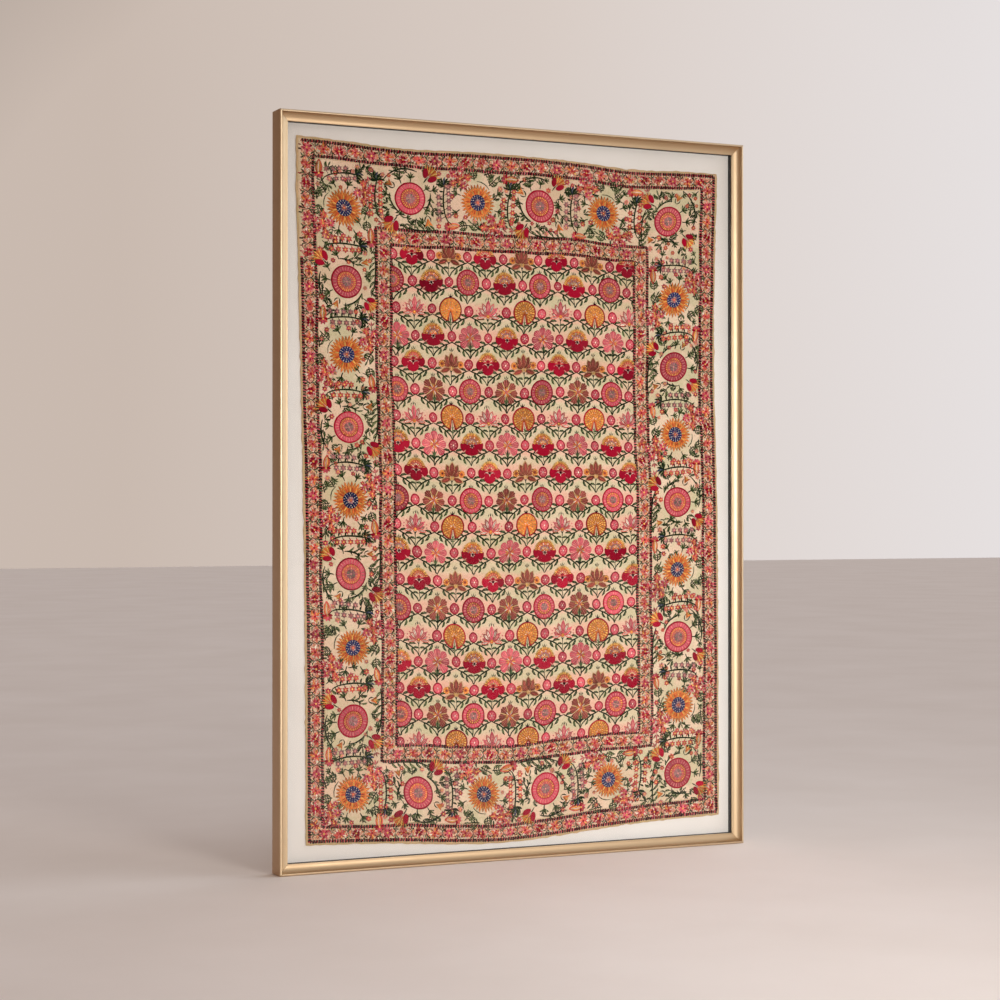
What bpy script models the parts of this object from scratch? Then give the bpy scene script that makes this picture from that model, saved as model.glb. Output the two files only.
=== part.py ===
"""Framed embroidered rug: a flat embroidered cloth floated on a pale mount board, behind
glass, in a thin mitred moulding. Metres, +Z up; the front faces -Y and the wall is at y = 0.
The origin is the middle of the top rail's rear face, where the frame hangs."""

import math

import bmesh
import bpy
from mathutils import Vector

FRAME_WIDTH = 0.700      # over the moulding, along X
FRAME_HEIGHT = 1.000     # over the moulding, along Z
FRAME_DEPTH = 0.031      # wall to front, along Y
CLEARANCE = 0.0003       # between pieces that touch

FACE_WIDTH = 0.014       # moulding, outer side to sight edge
WALL_WIDTH = 0.008       # moulding beside the rabbet
LIP_WIDTH = 0.0028       # flat outer lip at the front
OUTER_RADIUS = 0.0014    # rounding of the lip's outer edge
SCOOP_START = 0.0004     # how far the scoop begins behind the front
SCOOP_DROP = 0.0088      # how far the scoop falls
SIGHT_RADIUS = 0.0008    # rounding of the sight edge
RABBET_DEPTH = 0.0115    # front to the face that holds the glass

GLASS_THICKNESS = 0.002
SPACER_DEPTH = 0.0061
BOARD_THICKNESS = 0.003
BACKING_THICKNESS = 0.003
CLOTH_THICKNESS = 0.0015

# The cloth's corners as (x, z), from the frame's centre line and its top edge. They are
# listed clockwise, seen from the front, and each names the side that starts there.
CORNERS = {
    "top": (-0.3215, -0.0303),
    "right": (0.3170, -0.0411),
    "bottom": (0.3199, -0.9605),
    "left": (-0.3073, -0.9650),
}

# Each side swells out (+) or draws in (-) from its straight line by soft humps: how far in
# metres, and its middle and its spread as shares of the side from its first corner.
SIDE_HUMPS = {
    "top": [(-0.0050, 0.24, 0.12), (-0.0045, 0.78, 0.11)],
    "right": [(-0.0056, 0.27, 0.19)],
    "bottom": [(0.0158, 0.54, 0.26)],
    "left": [(-0.0030, 0.42, 0.34), (0.0012, 0.92, 0.06)],
}
CORNER_FADE = 0.08       # share of a side over which its humps fade to a corner

SIDE_STEPS = 36
SCOOP_STEPS = 10
ROUND_STEPS = 4

FRAME_TOP = WALL_WIDTH / 2          # the origin is half way down the top rail's rear face
FRAME_BOTTOM = FRAME_TOP - FRAME_HEIGHT
FRAME_MIDDLE = FRAME_TOP - FRAME_HEIGHT / 2
FRONT = -FRAME_DEPTH
INSET = WALL_WIDTH + CLEARANCE      # outer side to the edge of what lies in the rabbet
INNER_WIDTH = FRAME_WIDTH - 2 * INSET
INNER_HEIGHT = FRAME_HEIGHT - 2 * INSET
SPACER_WIDTH = FACE_WIDTH - INSET   # its inner side is flush with the sight edge

GLASS_FRONT = FRONT + RABBET_DEPTH + CLEARANCE
SPACER_FRONT = GLASS_FRONT + GLASS_THICKNESS + CLEARANCE
BOARD_FRONT = SPACER_FRONT + SPACER_DEPTH + CLEARANCE
BACKING_FRONT = BOARD_FRONT + BOARD_THICKNESS + CLEARANCE
CLOTH_FRONT = BOARD_FRONT - CLEARANCE - CLOTH_THICKNESS


def clear_scene():
    for obj in list(bpy.data.objects):
        bpy.data.objects.remove(obj, do_unlink=True)


def make_material(name, colour, roughness, metallic=0.0):
    material = bpy.data.materials.new(name)
    material.use_nodes = True
    shader = material.node_tree.nodes["Principled BSDF"]
    shader.inputs["Base Color"].default_value = (*colour, 1.0)
    shader.inputs["Roughness"].default_value = roughness
    shader.inputs["Metallic"].default_value = metallic
    return material


def make_glass_material():
    material = make_material("picture_glass", (0.97, 0.99, 0.98), 0.03)
    shader = material.node_tree.nodes["Principled BSDF"]
    shader.inputs["Transmission Weight"].default_value = 1.0
    return material


def finish_mesh(bm, name, material):
    """Turns a bmesh into a mesh with its faces pointing out and its round stretches smooth."""
    bmesh.ops.recalc_face_normals(bm, faces=bm.faces)
    mesh = bpy.data.meshes.new(name)
    bm.to_mesh(mesh)
    bm.free()
    mesh.shade_smooth()
    mesh.set_sharp_from_angle(angle=math.radians(30))
    mesh.materials.append(material)
    return mesh


def place(name, mesh, location, parent, turn=0.0):
    """A sub-part at its place. The turn is about Y, in degrees."""
    obj = bpy.data.objects.new(name, mesh)
    obj.location = location
    obj.rotation_euler = (0.0, math.radians(turn), 0.0)
    obj.parent = parent
    bpy.context.scene.collection.objects.link(obj)
    return obj


def arc(centre, radii, start, end, steps):
    """Points of an elliptical arc between two angles in degrees."""
    points = []
    for step in range(steps + 1):
        angle = math.radians(start + (end - start) * step / steps)
        across = centre[0] + radii[0] * math.cos(angle)
        back = centre[1] + radii[1] * math.sin(angle)
        points.append((across, back))
    return points


def moulding_profile():
    """The moulding's section, as points (in from the outer side, back from the front)."""
    outer = (OUTER_RADIUS, OUTER_RADIUS)
    rounded_edge = arc(outer, outer, 180, 270, ROUND_STEPS)
    lip_end = [(LIP_WIDTH, 0.0)]

    # The scoop falls steeply beside the lip and levels out towards the sight edge.
    scoop_end = FACE_WIDTH - SIGHT_RADIUS
    scoop_width = scoop_end - LIP_WIDTH
    scoop = arc((scoop_end, SCOOP_START), (scoop_width, SCOOP_DROP), 180, 90, SCOOP_STEPS)

    sight_back = SCOOP_START + SCOOP_DROP + SIGHT_RADIUS
    sight = (SIGHT_RADIUS, SIGHT_RADIUS)
    sight_edge = arc((scoop_end, sight_back), sight, 270, 360, ROUND_STEPS)

    rabbet = [(FACE_WIDTH, RABBET_DEPTH), (WALL_WIDTH, RABBET_DEPTH)]
    back = [(WALL_WIDTH, FRAME_DEPTH), (0.0, FRAME_DEPTH)]
    return rounded_edge + lip_end + scoop + sight_edge[1:] + rabbet + back


def rail_mesh(name, length, material):
    """A member along X, with its outer side at local z = 0 and both ends mitred at 45 degrees."""
    half = length / 2 - CLEARANCE / math.sqrt(2)
    bm = bmesh.new()
    section = []
    for across, back in moulding_profile():
        section.append(bm.verts.new((across - half, FRONT + back, -across)))
    end = bm.faces.new(section)
    swept = bmesh.ops.extrude_face_region(bm, geom=[end])
    for item in swept["geom"]:
        if isinstance(item, bmesh.types.BMVert):
            item.co.x = -item.co.x
    return finish_mesh(bm, name, material)


def panel_mesh(name, width, depth, height, material):
    """A flat board or strip centred on X and Z, with its front at local y = 0."""
    bm = bmesh.new()
    bmesh.ops.create_cube(bm, size=1.0)
    bmesh.ops.scale(bm, vec=(width, depth, height), verts=bm.verts)
    bmesh.ops.translate(bm, vec=(0.0, depth / 2, 0.0), verts=bm.verts)
    return finish_mesh(bm, name, material)


def hump_at(side, share):
    """How far a side of the cloth stands out from its straight line."""
    hump = 0.0
    for amount, middle, spread in SIDE_HUMPS[side]:
        hump += amount * math.exp(-((share - middle) / spread) ** 2)
    fade = min(1.0, share / CORNER_FADE, (1.0 - share) / CORNER_FADE)
    return hump * fade


def cloth_outline():
    """The uneven outline as (x, z) points, clockwise from the top left corner."""
    names = list(CORNERS)
    outline = []
    for index, side in enumerate(names):
        start = Vector(CORNERS[side])
        along = Vector(CORNERS[names[(index + 1) % len(names)]]) - start
        outwards = Vector((-along.y, along.x)).normalized()
        for step in range(SIDE_STEPS):
            share = step / SIDE_STEPS
            outline.append(start + along * share + outwards * hump_at(side, share))
    return outline


def cloth_mesh(name, material):
    """The flat cloth: its outline as one face, swept back by its thickness."""
    bm = bmesh.new()
    rim = [bm.verts.new((point.x, 0.0, point.y)) for point in cloth_outline()]
    front = bm.faces.new(rim)
    swept = bmesh.ops.extrude_face_region(bm, geom=[front])
    moved = [item for item in swept["geom"] if isinstance(item, bmesh.types.BMVert)]
    bmesh.ops.translate(bm, vec=(0.0, CLOTH_THICKNESS, 0.0), verts=moved)
    return finish_mesh(bm, name, material)


def build_frame(parent):
    """Four mitred members: the bottom and the sides are the top one, turned about Y."""
    gilt = make_material("champagne_moulding", (0.62, 0.44, 0.27), 0.34, 0.75)
    across = rail_mesh("rail_across", FRAME_WIDTH, gilt)
    upright = rail_mesh("rail_upright", FRAME_HEIGHT, gilt)
    side = FRAME_WIDTH / 2
    place("frame_top", across, (0.0, 0.0, FRAME_TOP), parent)
    place("frame_bottom", across, (0.0, 0.0, FRAME_BOTTOM), parent, turn=180)
    place("frame_left", upright, (-side, 0.0, FRAME_MIDDLE), parent, turn=-90)
    place("frame_right", upright, (side, 0.0, FRAME_MIDDLE), parent, turn=90)


def build_glazing(parent):
    glass = make_glass_material()
    pane = panel_mesh("pane", INNER_WIDTH, GLASS_THICKNESS, INNER_HEIGHT, glass)
    place("glazing", pane, (0.0, GLASS_FRONT, FRAME_MIDDLE), parent)


def build_spacers(parent):
    """Black strips that hold the glass off the board. The uprights run the full height."""
    black = make_material("spacer_black", (0.015, 0.014, 0.013), 0.7)
    between = INNER_WIDTH - 2 * (SPACER_WIDTH + CLEARANCE)
    across = panel_mesh("strip_across", between, SPACER_DEPTH, SPACER_WIDTH, black)
    upright = panel_mesh("strip_upright", SPACER_WIDTH, SPACER_DEPTH, INNER_HEIGHT, black)
    side = (INNER_WIDTH - SPACER_WIDTH) / 2
    end = (INNER_HEIGHT - SPACER_WIDTH) / 2
    place("spacer_top", across, (0.0, SPACER_FRONT, FRAME_MIDDLE + end), parent)
    place("spacer_bottom", across, (0.0, SPACER_FRONT, FRAME_MIDDLE - end), parent)
    place("spacer_left", upright, (-side, SPACER_FRONT, FRAME_MIDDLE), parent)
    place("spacer_right", upright, (side, SPACER_FRONT, FRAME_MIDDLE), parent)


def build_boards(parent):
    """The pale board that carries the cloth, and the plain board that closes the back."""
    pale = make_material("mount_board_white", (0.82, 0.80, 0.76), 0.9)
    brown = make_material("backing_brown", (0.33, 0.23, 0.14), 0.85)
    mount = panel_mesh("mount_panel", INNER_WIDTH, BOARD_THICKNESS, INNER_HEIGHT, pale)
    backing = panel_mesh("backing_panel", INNER_WIDTH, BACKING_THICKNESS, INNER_HEIGHT, brown)
    place("mount_board", mount, (0.0, BOARD_FRONT, FRAME_MIDDLE), parent)
    place("backing_board", backing, (0.0, BACKING_FRONT, FRAME_MIDDLE), parent)


def build_cloth(parent):
    thread = make_material("embroidered_cloth", (0.60, 0.40, 0.27), 0.95)
    place("textile", cloth_mesh("cloth", thread), (0.0, CLOTH_FRONT, FRAME_TOP), parent)


def main():
    clear_scene()
    hanging_point = bpy.data.objects.new("hanging_point", None)
    bpy.context.scene.collection.objects.link(hanging_point)
    build_frame(hanging_point)
    build_glazing(hanging_point)
    build_spacers(hanging_point)
    build_boards(hanging_point)
    build_cloth(hanging_point)


main()
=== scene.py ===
import math

import bpy
import numpy as np
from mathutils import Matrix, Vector


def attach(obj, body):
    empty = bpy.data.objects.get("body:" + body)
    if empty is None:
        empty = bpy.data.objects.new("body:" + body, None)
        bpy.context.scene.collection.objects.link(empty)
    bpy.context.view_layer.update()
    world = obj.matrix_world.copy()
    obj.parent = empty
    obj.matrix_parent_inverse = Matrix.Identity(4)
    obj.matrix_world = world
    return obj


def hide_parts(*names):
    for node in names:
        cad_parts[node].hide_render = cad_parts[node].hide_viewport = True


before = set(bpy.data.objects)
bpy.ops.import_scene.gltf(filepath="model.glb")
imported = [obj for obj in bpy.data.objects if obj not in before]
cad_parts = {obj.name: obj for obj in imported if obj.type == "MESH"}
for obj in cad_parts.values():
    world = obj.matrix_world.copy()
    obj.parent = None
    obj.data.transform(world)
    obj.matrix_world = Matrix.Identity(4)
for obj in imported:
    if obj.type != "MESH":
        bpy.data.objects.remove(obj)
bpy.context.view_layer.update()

dice = np.random.default_rng(11)
print("packed frame loaded,", len(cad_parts), "nodes")


# small helpers for operators

def deselectAll():
    if bpy.context.object and bpy.context.object.mode != "OBJECT":
        bpy.ops.object.mode_set(mode="OBJECT")
    bpy.ops.object.select_all(action="DESELECT")


def pickOnly(piece):
    deselectAll()
    piece.select_set(True)
    bpy.context.view_layer.objects.active = piece


def addBlock(name, low, high):
    deselectAll()
    middle = [(a + b) / 2 for a, b in zip(low, high)]
    bpy.ops.mesh.primitive_cube_add(size=1, location=middle)
    block = bpy.context.object
    block.name = name
    block.scale = [b - a for a, b in zip(low, high)]
    bpy.ops.object.transform_apply(location=True, rotation=True, scale=True)
    return block


def carve(piece, cutter):
    pickOnly(piece)
    cut = piece.modifiers.new("carve", "BOOLEAN")
    cut.operation = "DIFFERENCE"
    cut.solver = "EXACT"
    cut.object = cutter
    bpy.ops.object.modifier_apply(modifier=cut.name)
    bpy.data.objects.remove(cutter, do_unlink=True)


def selectEdges(piece, wanted):
    pickOnly(piece)
    bpy.ops.object.mode_set(mode="EDIT")
    bpy.ops.mesh.select_mode(type="EDGE")
    bpy.ops.mesh.select_all(action="DESELECT")
    bpy.ops.object.mode_set(mode="OBJECT")
    points = piece.data.vertices
    for edge in piece.data.edges:
        edge.select = wanted(points[edge.vertices[0]].co, points[edge.vertices[1]].co)
    bpy.ops.object.mode_set(mode="EDIT")


def roundEdges(piece, wanted, width, steps):
    selectEdges(piece, wanted)
    bpy.ops.mesh.bevel(offset=width, segments=steps, affect="EDGES")
    bpy.ops.object.mode_set(mode="OBJECT")


def cutOff(piece, point, normal):
    pickOnly(piece)
    bpy.ops.object.mode_set(mode="EDIT")
    bpy.ops.mesh.select_all(action="SELECT")
    bpy.ops.mesh.bisect(plane_co=point, plane_no=normal, use_fill=True, clear_outer=True)
    bpy.ops.object.mode_set(mode="OBJECT")


def copyPiece(piece, name, turn, move):
    twin = piece.copy()
    twin.data = piece.data.copy()
    twin.name = name
    bpy.context.collection.objects.link(twin)
    pickOnly(twin)
    twin.rotation_euler = (0, turn, 0)
    twin.location = move
    bpy.ops.object.transform_apply(location=True, rotation=True, scale=True)
    return twin


# colours are written as a screen shows them, 0 to 255

def shade(red, green, blue):
    return tuple((c / 255 / 12.92 if c <= 10 else ((c / 255 + 0.055) / 1.055) ** 2.4)
                 for c in (red, green, blue)) + (1.0,)


# small helpers for shader nodes

def addNode(tree, kind, **values):
    node = tree.nodes.new(kind)
    for key, value in values.items():
        setattr(node, key, value)
    return node


def feed(tree, socket, value):
    if isinstance(value, bpy.types.NodeSocket):
        tree.links.new(value, socket)
    elif value is not None:
        socket.default_value = value


def reckon(tree, operation, first, second=None, third=None, clamp=False):
    node = addNode(tree, "ShaderNodeMath", operation=operation, use_clamp=clamp)
    for socket, value in zip(node.inputs, (first, second, third)):
        feed(tree, socket, value)
    return node.outputs[0]


def times(tree, first, second):
    return reckon(tree, "MULTIPLY", first, second)


def plus(tree, first, second):
    return reckon(tree, "ADD", first, second)


def minus(tree, first, second):
    return reckon(tree, "SUBTRACT", first, second)


def blendColours(tree, amount, first, second, how="MIX"):
    node = addNode(tree, "ShaderNodeMix", data_type="RGBA", blend_type=how)
    feed(tree, node.inputs[0], amount)
    feed(tree, node.inputs[6], first)
    feed(tree, node.inputs[7], second)
    return node.outputs[2]


def spread(tree, value, fromLow, fromHigh, toLow=0.0, toHigh=1.0):
    node = addNode(tree, "ShaderNodeMapRange", clamp=True)
    for socket, number in zip(node.inputs, (value, fromLow, fromHigh, toLow, toHigh)):
        feed(tree, socket, number)
    return node.outputs[0]


def cloudiness(tree, place, scale, detail=3.0, roughness=0.55):
    node = addNode(tree, "ShaderNodeTexNoise")
    feed(tree, node.inputs["Vector"], place)
    node.inputs["Scale"].default_value = scale
    node.inputs["Detail"].default_value = detail
    node.inputs["Roughness"].default_value = roughness
    return node.outputs["Fac"]


def objectPlace(tree, scale=(1, 1, 1), turn=(0, 0, 0)):
    place = addNode(tree, "ShaderNodeTexCoord")
    fit = addNode(tree, "ShaderNodeMapping")
    fit.inputs["Scale"].default_value = scale
    fit.inputs["Rotation"].default_value = turn
    tree.links.new(place.outputs["Object"], fit.inputs["Vector"])
    return fit.outputs["Vector"]


def relief(tree, height, distance, strength=1.0, under=None):
    node = addNode(tree, "ShaderNodeBump")
    node.inputs["Strength"].default_value = strength
    node.inputs["Distance"].default_value = distance
    feed(tree, node.inputs["Height"], height)
    if under is not None:
        feed(tree, node.inputs["Normal"], under)
    return node.outputs["Normal"]


def startGroup(name, ins, outs):
    tree = bpy.data.node_groups.new(name, "ShaderNodeTree")
    for label, kind, value in ins:
        socket = tree.interface.new_socket(label, in_out="INPUT", socket_type=kind)
        if value is not None:
            socket.default_value = value
    for label, kind in outs:
        tree.interface.new_socket(label, in_out="OUTPUT", socket_type=kind)
    return tree, addNode(tree, "NodeGroupInput"), addNode(tree, "NodeGroupOutput")


def placeGroup(tree, group, **values):
    node = addNode(tree, "ShaderNodeGroup", node_tree=group)
    for label, value in values.items():
        feed(tree, node.inputs[label], value)
    return node


def startMaterial(name):
    material = bpy.data.materials.new(name)
    material.use_nodes = True
    tree = material.node_tree
    tree.nodes.clear()
    shader = addNode(tree, "ShaderNodeBsdfPrincipled")
    out = addNode(tree, "ShaderNodeOutputMaterial")
    tree.links.new(shader.outputs[0], out.inputs["Surface"])
    return material, tree, shader


def dress(tree, shader, tint, roughness, normal):
    for label, value in (("Base Color", tint), ("Roughness", roughness), ("Normal", normal)):
        feed(tree, shader.inputs[label], value)


number, colour, vector = "NodeSocketFloat", "NodeSocketColor", "NodeSocketVector"


# chain stitch rows: the coordinates are millimetres along and across the rows
def makeStitchRows():
    tree, start, end = startGroup(
        "stitchRows",
        [("Place", vector, None), ("RowWidth", number, 0.9), ("LinkLength", number, 1.8),
         ("Wobble", number, 0.25)],
        [("Height", number), ("Groove", number)])
    wander = addNode(tree, "ShaderNodeTexNoise")
    tree.links.new(start.outputs["Place"], wander.inputs["Vector"])
    wander.inputs["Scale"].default_value = 0.45
    wander.inputs["Detail"].default_value = 1.0
    split = addNode(tree, "ShaderNodeSeparateXYZ")
    tree.links.new(start.outputs["Place"], split.inputs[0])
    shift = times(tree, minus(tree, wander.outputs["Fac"], 0.5), start.outputs["Wobble"])
    across = reckon(tree, "DIVIDE", plus(tree, split.outputs[1], shift), start.outputs["RowWidth"])
    row = reckon(tree, "FLOOR", across)
    inRow = minus(tree, across, row)
    crown = reckon(tree, "SINE", times(tree, inRow, math.pi))
    along = reckon(tree, "DIVIDE", plus(tree, split.outputs[0], shift), start.outputs["LinkLength"])
    staggered = plus(tree, along, times(tree, row, 0.37))
    link = reckon(tree, "ABSOLUTE", reckon(tree, "SINE", times(tree, staggered, math.pi)))
    height = times(tree, reckon(tree, "POWER", crown, 0.6),
                   reckon(tree, "MULTIPLY_ADD", reckon(tree, "POWER", link, 0.5), 0.55, 0.45))
    tree.links.new(height, end.inputs["Height"])
    tree.links.new(reckon(tree, "SUBTRACT", 1.0, height, clamp=True), end.inputs["Groove"])
    return tree


# uneven dye from thread to thread, soft patches of fading, and painted shade that darkens the grooves between
# the rows
def makeThreadTone():
    tree, start, end = startGroup(
        "threadTone",
        [("Place", vector, None), ("Base", colour, (0.5, 0.5, 0.5, 1)),
         ("Faded", colour, (0.7, 0.6, 0.5, 1)), ("Tone", number, 0.5), ("Groove", number, 0.0),
         ("Fading", number, 0.2), ("Contrast", number, 0.5)],
        [("Color", colour), ("Roughness", number)])
    place = start.outputs["Place"]
    patches = spread(tree, cloudiness(tree, place, 9.0, 4.0), 0.35, 0.7)
    flecks = cloudiness(tree, place, 520.0, 2.0, 0.7)
    faded = blendColours(tree, times(tree, patches, start.outputs["Fading"]),
                         start.outputs["Base"], start.outputs["Faded"])
    mixed = plus(tree, minus(tree, start.outputs["Tone"], 0.5), minus(tree, flecks, 0.5))
    level = reckon(tree, "MULTIPLY_ADD", mixed, start.outputs["Contrast"], 1.0)
    # painted shade: the thread colour is darkened in the grooves between the rows
    level = minus(tree, level, times(tree, start.outputs["Groove"], 0.3))
    grey = addNode(tree, "ShaderNodeCombineColor")
    for socket in grey.inputs[:3]:
        tree.links.new(level, socket)
    toned = blendColours(tree, 1.0, faded, grey.outputs[0], "MULTIPLY")
    tree.links.new(toned, end.inputs["Color"])
    tree.links.new(reckon(tree, "MULTIPLY_ADD", start.outputs["Groove"], 0.2, 0.55, clamp=True),
                   end.inputs["Roughness"])
    return tree


# plain weave of a ground cloth, on object coordinates in metres
def makePlainWeave():
    tree, start, end = startGroup(
        "plainWeave",
        [("Place", vector, None), ("Pitch", number, 0.0008)],
        [("Height", number), ("Gap", number)])
    split = addNode(tree, "ShaderNodeSeparateXYZ")
    tree.links.new(start.outputs["Place"], split.inputs[0])
    turn = reckon(tree, "DIVIDE", math.pi, start.outputs["Pitch"])
    warp = reckon(tree, "SINE", times(tree, split.outputs[0], turn))
    weft = reckon(tree, "SINE", times(tree, split.outputs[2], turn))
    over = times(tree, warp, weft)
    height = reckon(tree, "MULTIPLY_ADD", over, 0.5, 0.5)
    tree.links.new(height, end.inputs["Height"])
    tree.links.new(spread(tree, reckon(tree, "ABSOLUTE", over), 0.0, 0.35, 1.0, 0.0), end.inputs["Gap"])
    return tree


# fine dust and hand marks, for anything smooth
def makeSoftWear():
    tree, start, end = startGroup(
        "softWear",
        [("Place", vector, None), ("Amount", number, 0.5), ("Scale", number, 30.0)],
        [("Mask", number), ("Speckle", number)])
    broad = addNode(tree, "ShaderNodeTexNoise")
    tree.links.new(start.outputs["Place"], broad.inputs["Vector"])
    tree.links.new(start.outputs["Scale"], broad.inputs["Scale"])
    broad.inputs["Detail"].default_value = 5.0
    tree.links.new(times(tree, spread(tree, broad.outputs["Fac"], 0.42, 0.7),
                         start.outputs["Amount"]), end.inputs["Mask"])
    fine = cloudiness(tree, start.outputs["Place"], 900.0, 2.0, 0.8)
    tree.links.new(times(tree, spread(tree, fine, 0.66, 0.74), start.outputs["Amount"]),
                   end.inputs["Speckle"])
    return tree


# long brushed streaks, broad patches and an edge mask read from the surface's shape
def makeBrushedGrain():
    tree, start, end = startGroup(
        "brushedGrain",
        [("Place", vector, None), ("Fineness", number, 60.0)],
        [("Streaks", number), ("Broad", number), ("Edges", number)])
    fine = addNode(tree, "ShaderNodeTexNoise")
    tree.links.new(start.outputs["Place"], fine.inputs["Vector"])
    tree.links.new(start.outputs["Fineness"], fine.inputs["Scale"])
    fine.inputs["Detail"].default_value = 6.0
    fine.inputs["Roughness"].default_value = 0.7
    tree.links.new(fine.outputs["Fac"], end.inputs["Streaks"])
    broad = addNode(tree, "ShaderNodeTexNoise")
    tree.links.new(start.outputs["Place"], broad.inputs["Vector"])
    broad.inputs["Scale"].default_value = 4.0
    broad.inputs["Detail"].default_value = 3.0
    tree.links.new(broad.outputs["Fac"], end.inputs["Broad"])
    bend = addNode(tree, "ShaderNodeNewGeometry")
    tree.links.new(spread(tree, bend.outputs["Pointiness"], 0.5, 0.58), end.inputs["Edges"])
    return tree


stitchRows = makeStitchRows()
threadTone = makeThreadTone()
plainWeave = makePlainWeave()
softWear = makeSoftWear()
brushedGrain = makeBrushedGrain()
print("shared shader groups made")


# finishes of the frame

# the level rails' face colour is the uprights' gilt made browner: painted shade for how the light falls on
# the top and bottom rails
gilding = {
    "face": shade(216, 184, 138), "shadedLevelFace": shade(178, 140, 92), "faceDeep": shade(150, 108, 64),
    "rubbed": shade(244, 228, 198),
    # the outer side's dark browns are painted shade for the dim room that the side reflects
    "side": shade(188, 120, 60), "shadedSideDeep": shade(136, 84, 38), "roughness": 0.42,
}


def makeGilding(name, along, shadedSideFace=False):
    material, tree, shader = startMaterial(name)
    stretch = (0.04, 1, 1) if along == "x" else (1, 1, 0.04)
    grain = placeGroup(tree, brushedGrain, Place=objectPlace(tree, stretch), Fineness=900.0)
    wear = placeGroup(tree, softWear, Place=objectPlace(tree), Amount=0.6, Scale=22.0)
    # the level top and bottom rails get the darker face colour, painted shade
    top, deep = ("side", "shadedSideDeep") if shadedSideFace else ("shadedLevelFace" if along == "x" else "face", "faceDeep")
    tint = blendColours(tree, spread(tree, grain.outputs["Broad"], 0.35, 0.65, 0.0, 0.35),
                        gilding[top], gilding[deep])
    tint = blendColours(tree, spread(tree, grain.outputs["Streaks"], 0.35, 0.8, 0.0, 0.3),
                        tint, gilding[deep])
    tint = blendColours(tree, times(tree, grain.outputs["Edges"], 0.5), tint, gilding["rubbed"])
    tint = blendColours(tree, times(tree, wear.outputs["Speckle"], 0.3), tint, shade(120, 96, 70))
    feed(tree, shader.inputs["Base Color"], tint)
    shader.inputs["Metallic"].default_value = 0.92
    shader.inputs["Coat Weight"].default_value = 0.06
    shader.inputs["Coat Roughness"].default_value = 0.2
    rough = reckon(tree, "MULTIPLY_ADD", grain.outputs["Streaks"], 0.16,
                   gilding["roughness"] + (0.12 if shadedSideFace else 0.0) - 0.06)
    rough = plus(tree, rough, times(tree, wear.outputs["Mask"], 0.12))
    feed(tree, shader.inputs["Roughness"], rough)
    feed(tree, shader.inputs["Normal"], relief(tree, grain.outputs["Streaks"], 0.00004, 0.35))
    return material


def makeBareWood(name, along):
    material, tree, shader = startMaterial(name)
    stretch = (0.06, 1, 1) if along == "x" else (1, 1, 0.06)
    grain = placeGroup(tree, brushedGrain, Place=objectPlace(tree, stretch), Fineness=320.0)
    tint = blendColours(tree, spread(tree, grain.outputs["Streaks"], 0.3, 0.75), shade(196, 160, 116),
                        shade(150, 112, 74))
    tint = blendColours(tree, spread(tree, grain.outputs["Broad"], 0.4, 0.7, 0.0, 0.5), tint,
                        shade(170, 130, 88))
    dress(tree, shader, tint, spread(tree, grain.outputs["Streaks"], 0.3, 0.8, 0.6, 0.8),
          relief(tree, grain.outputs["Streaks"], 0.0002, 0.5))
    return material


# the moulding in metres, measured in from its outer side and back from its front

moulding = {
    "width": 0.700, "height": 1.000, "top": 0.004, "depth": 0.031, "face": 0.014,
    "lip": 0.0028, "lipDrop": 0.0004, "scoopEnd": 0.0132, "scoopDrop": 0.0088,
    "rabbetFrom": 0.008, "rabbetDepth": 0.0115,
    "outerRound": 0.0014, "lipRound": 0.0003, "sightRound": 0.0008, "backRound": 0.0005,
    "mitreGap": 0.0003, "spare": 0.05, "smoothUnder": 32,
}


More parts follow.
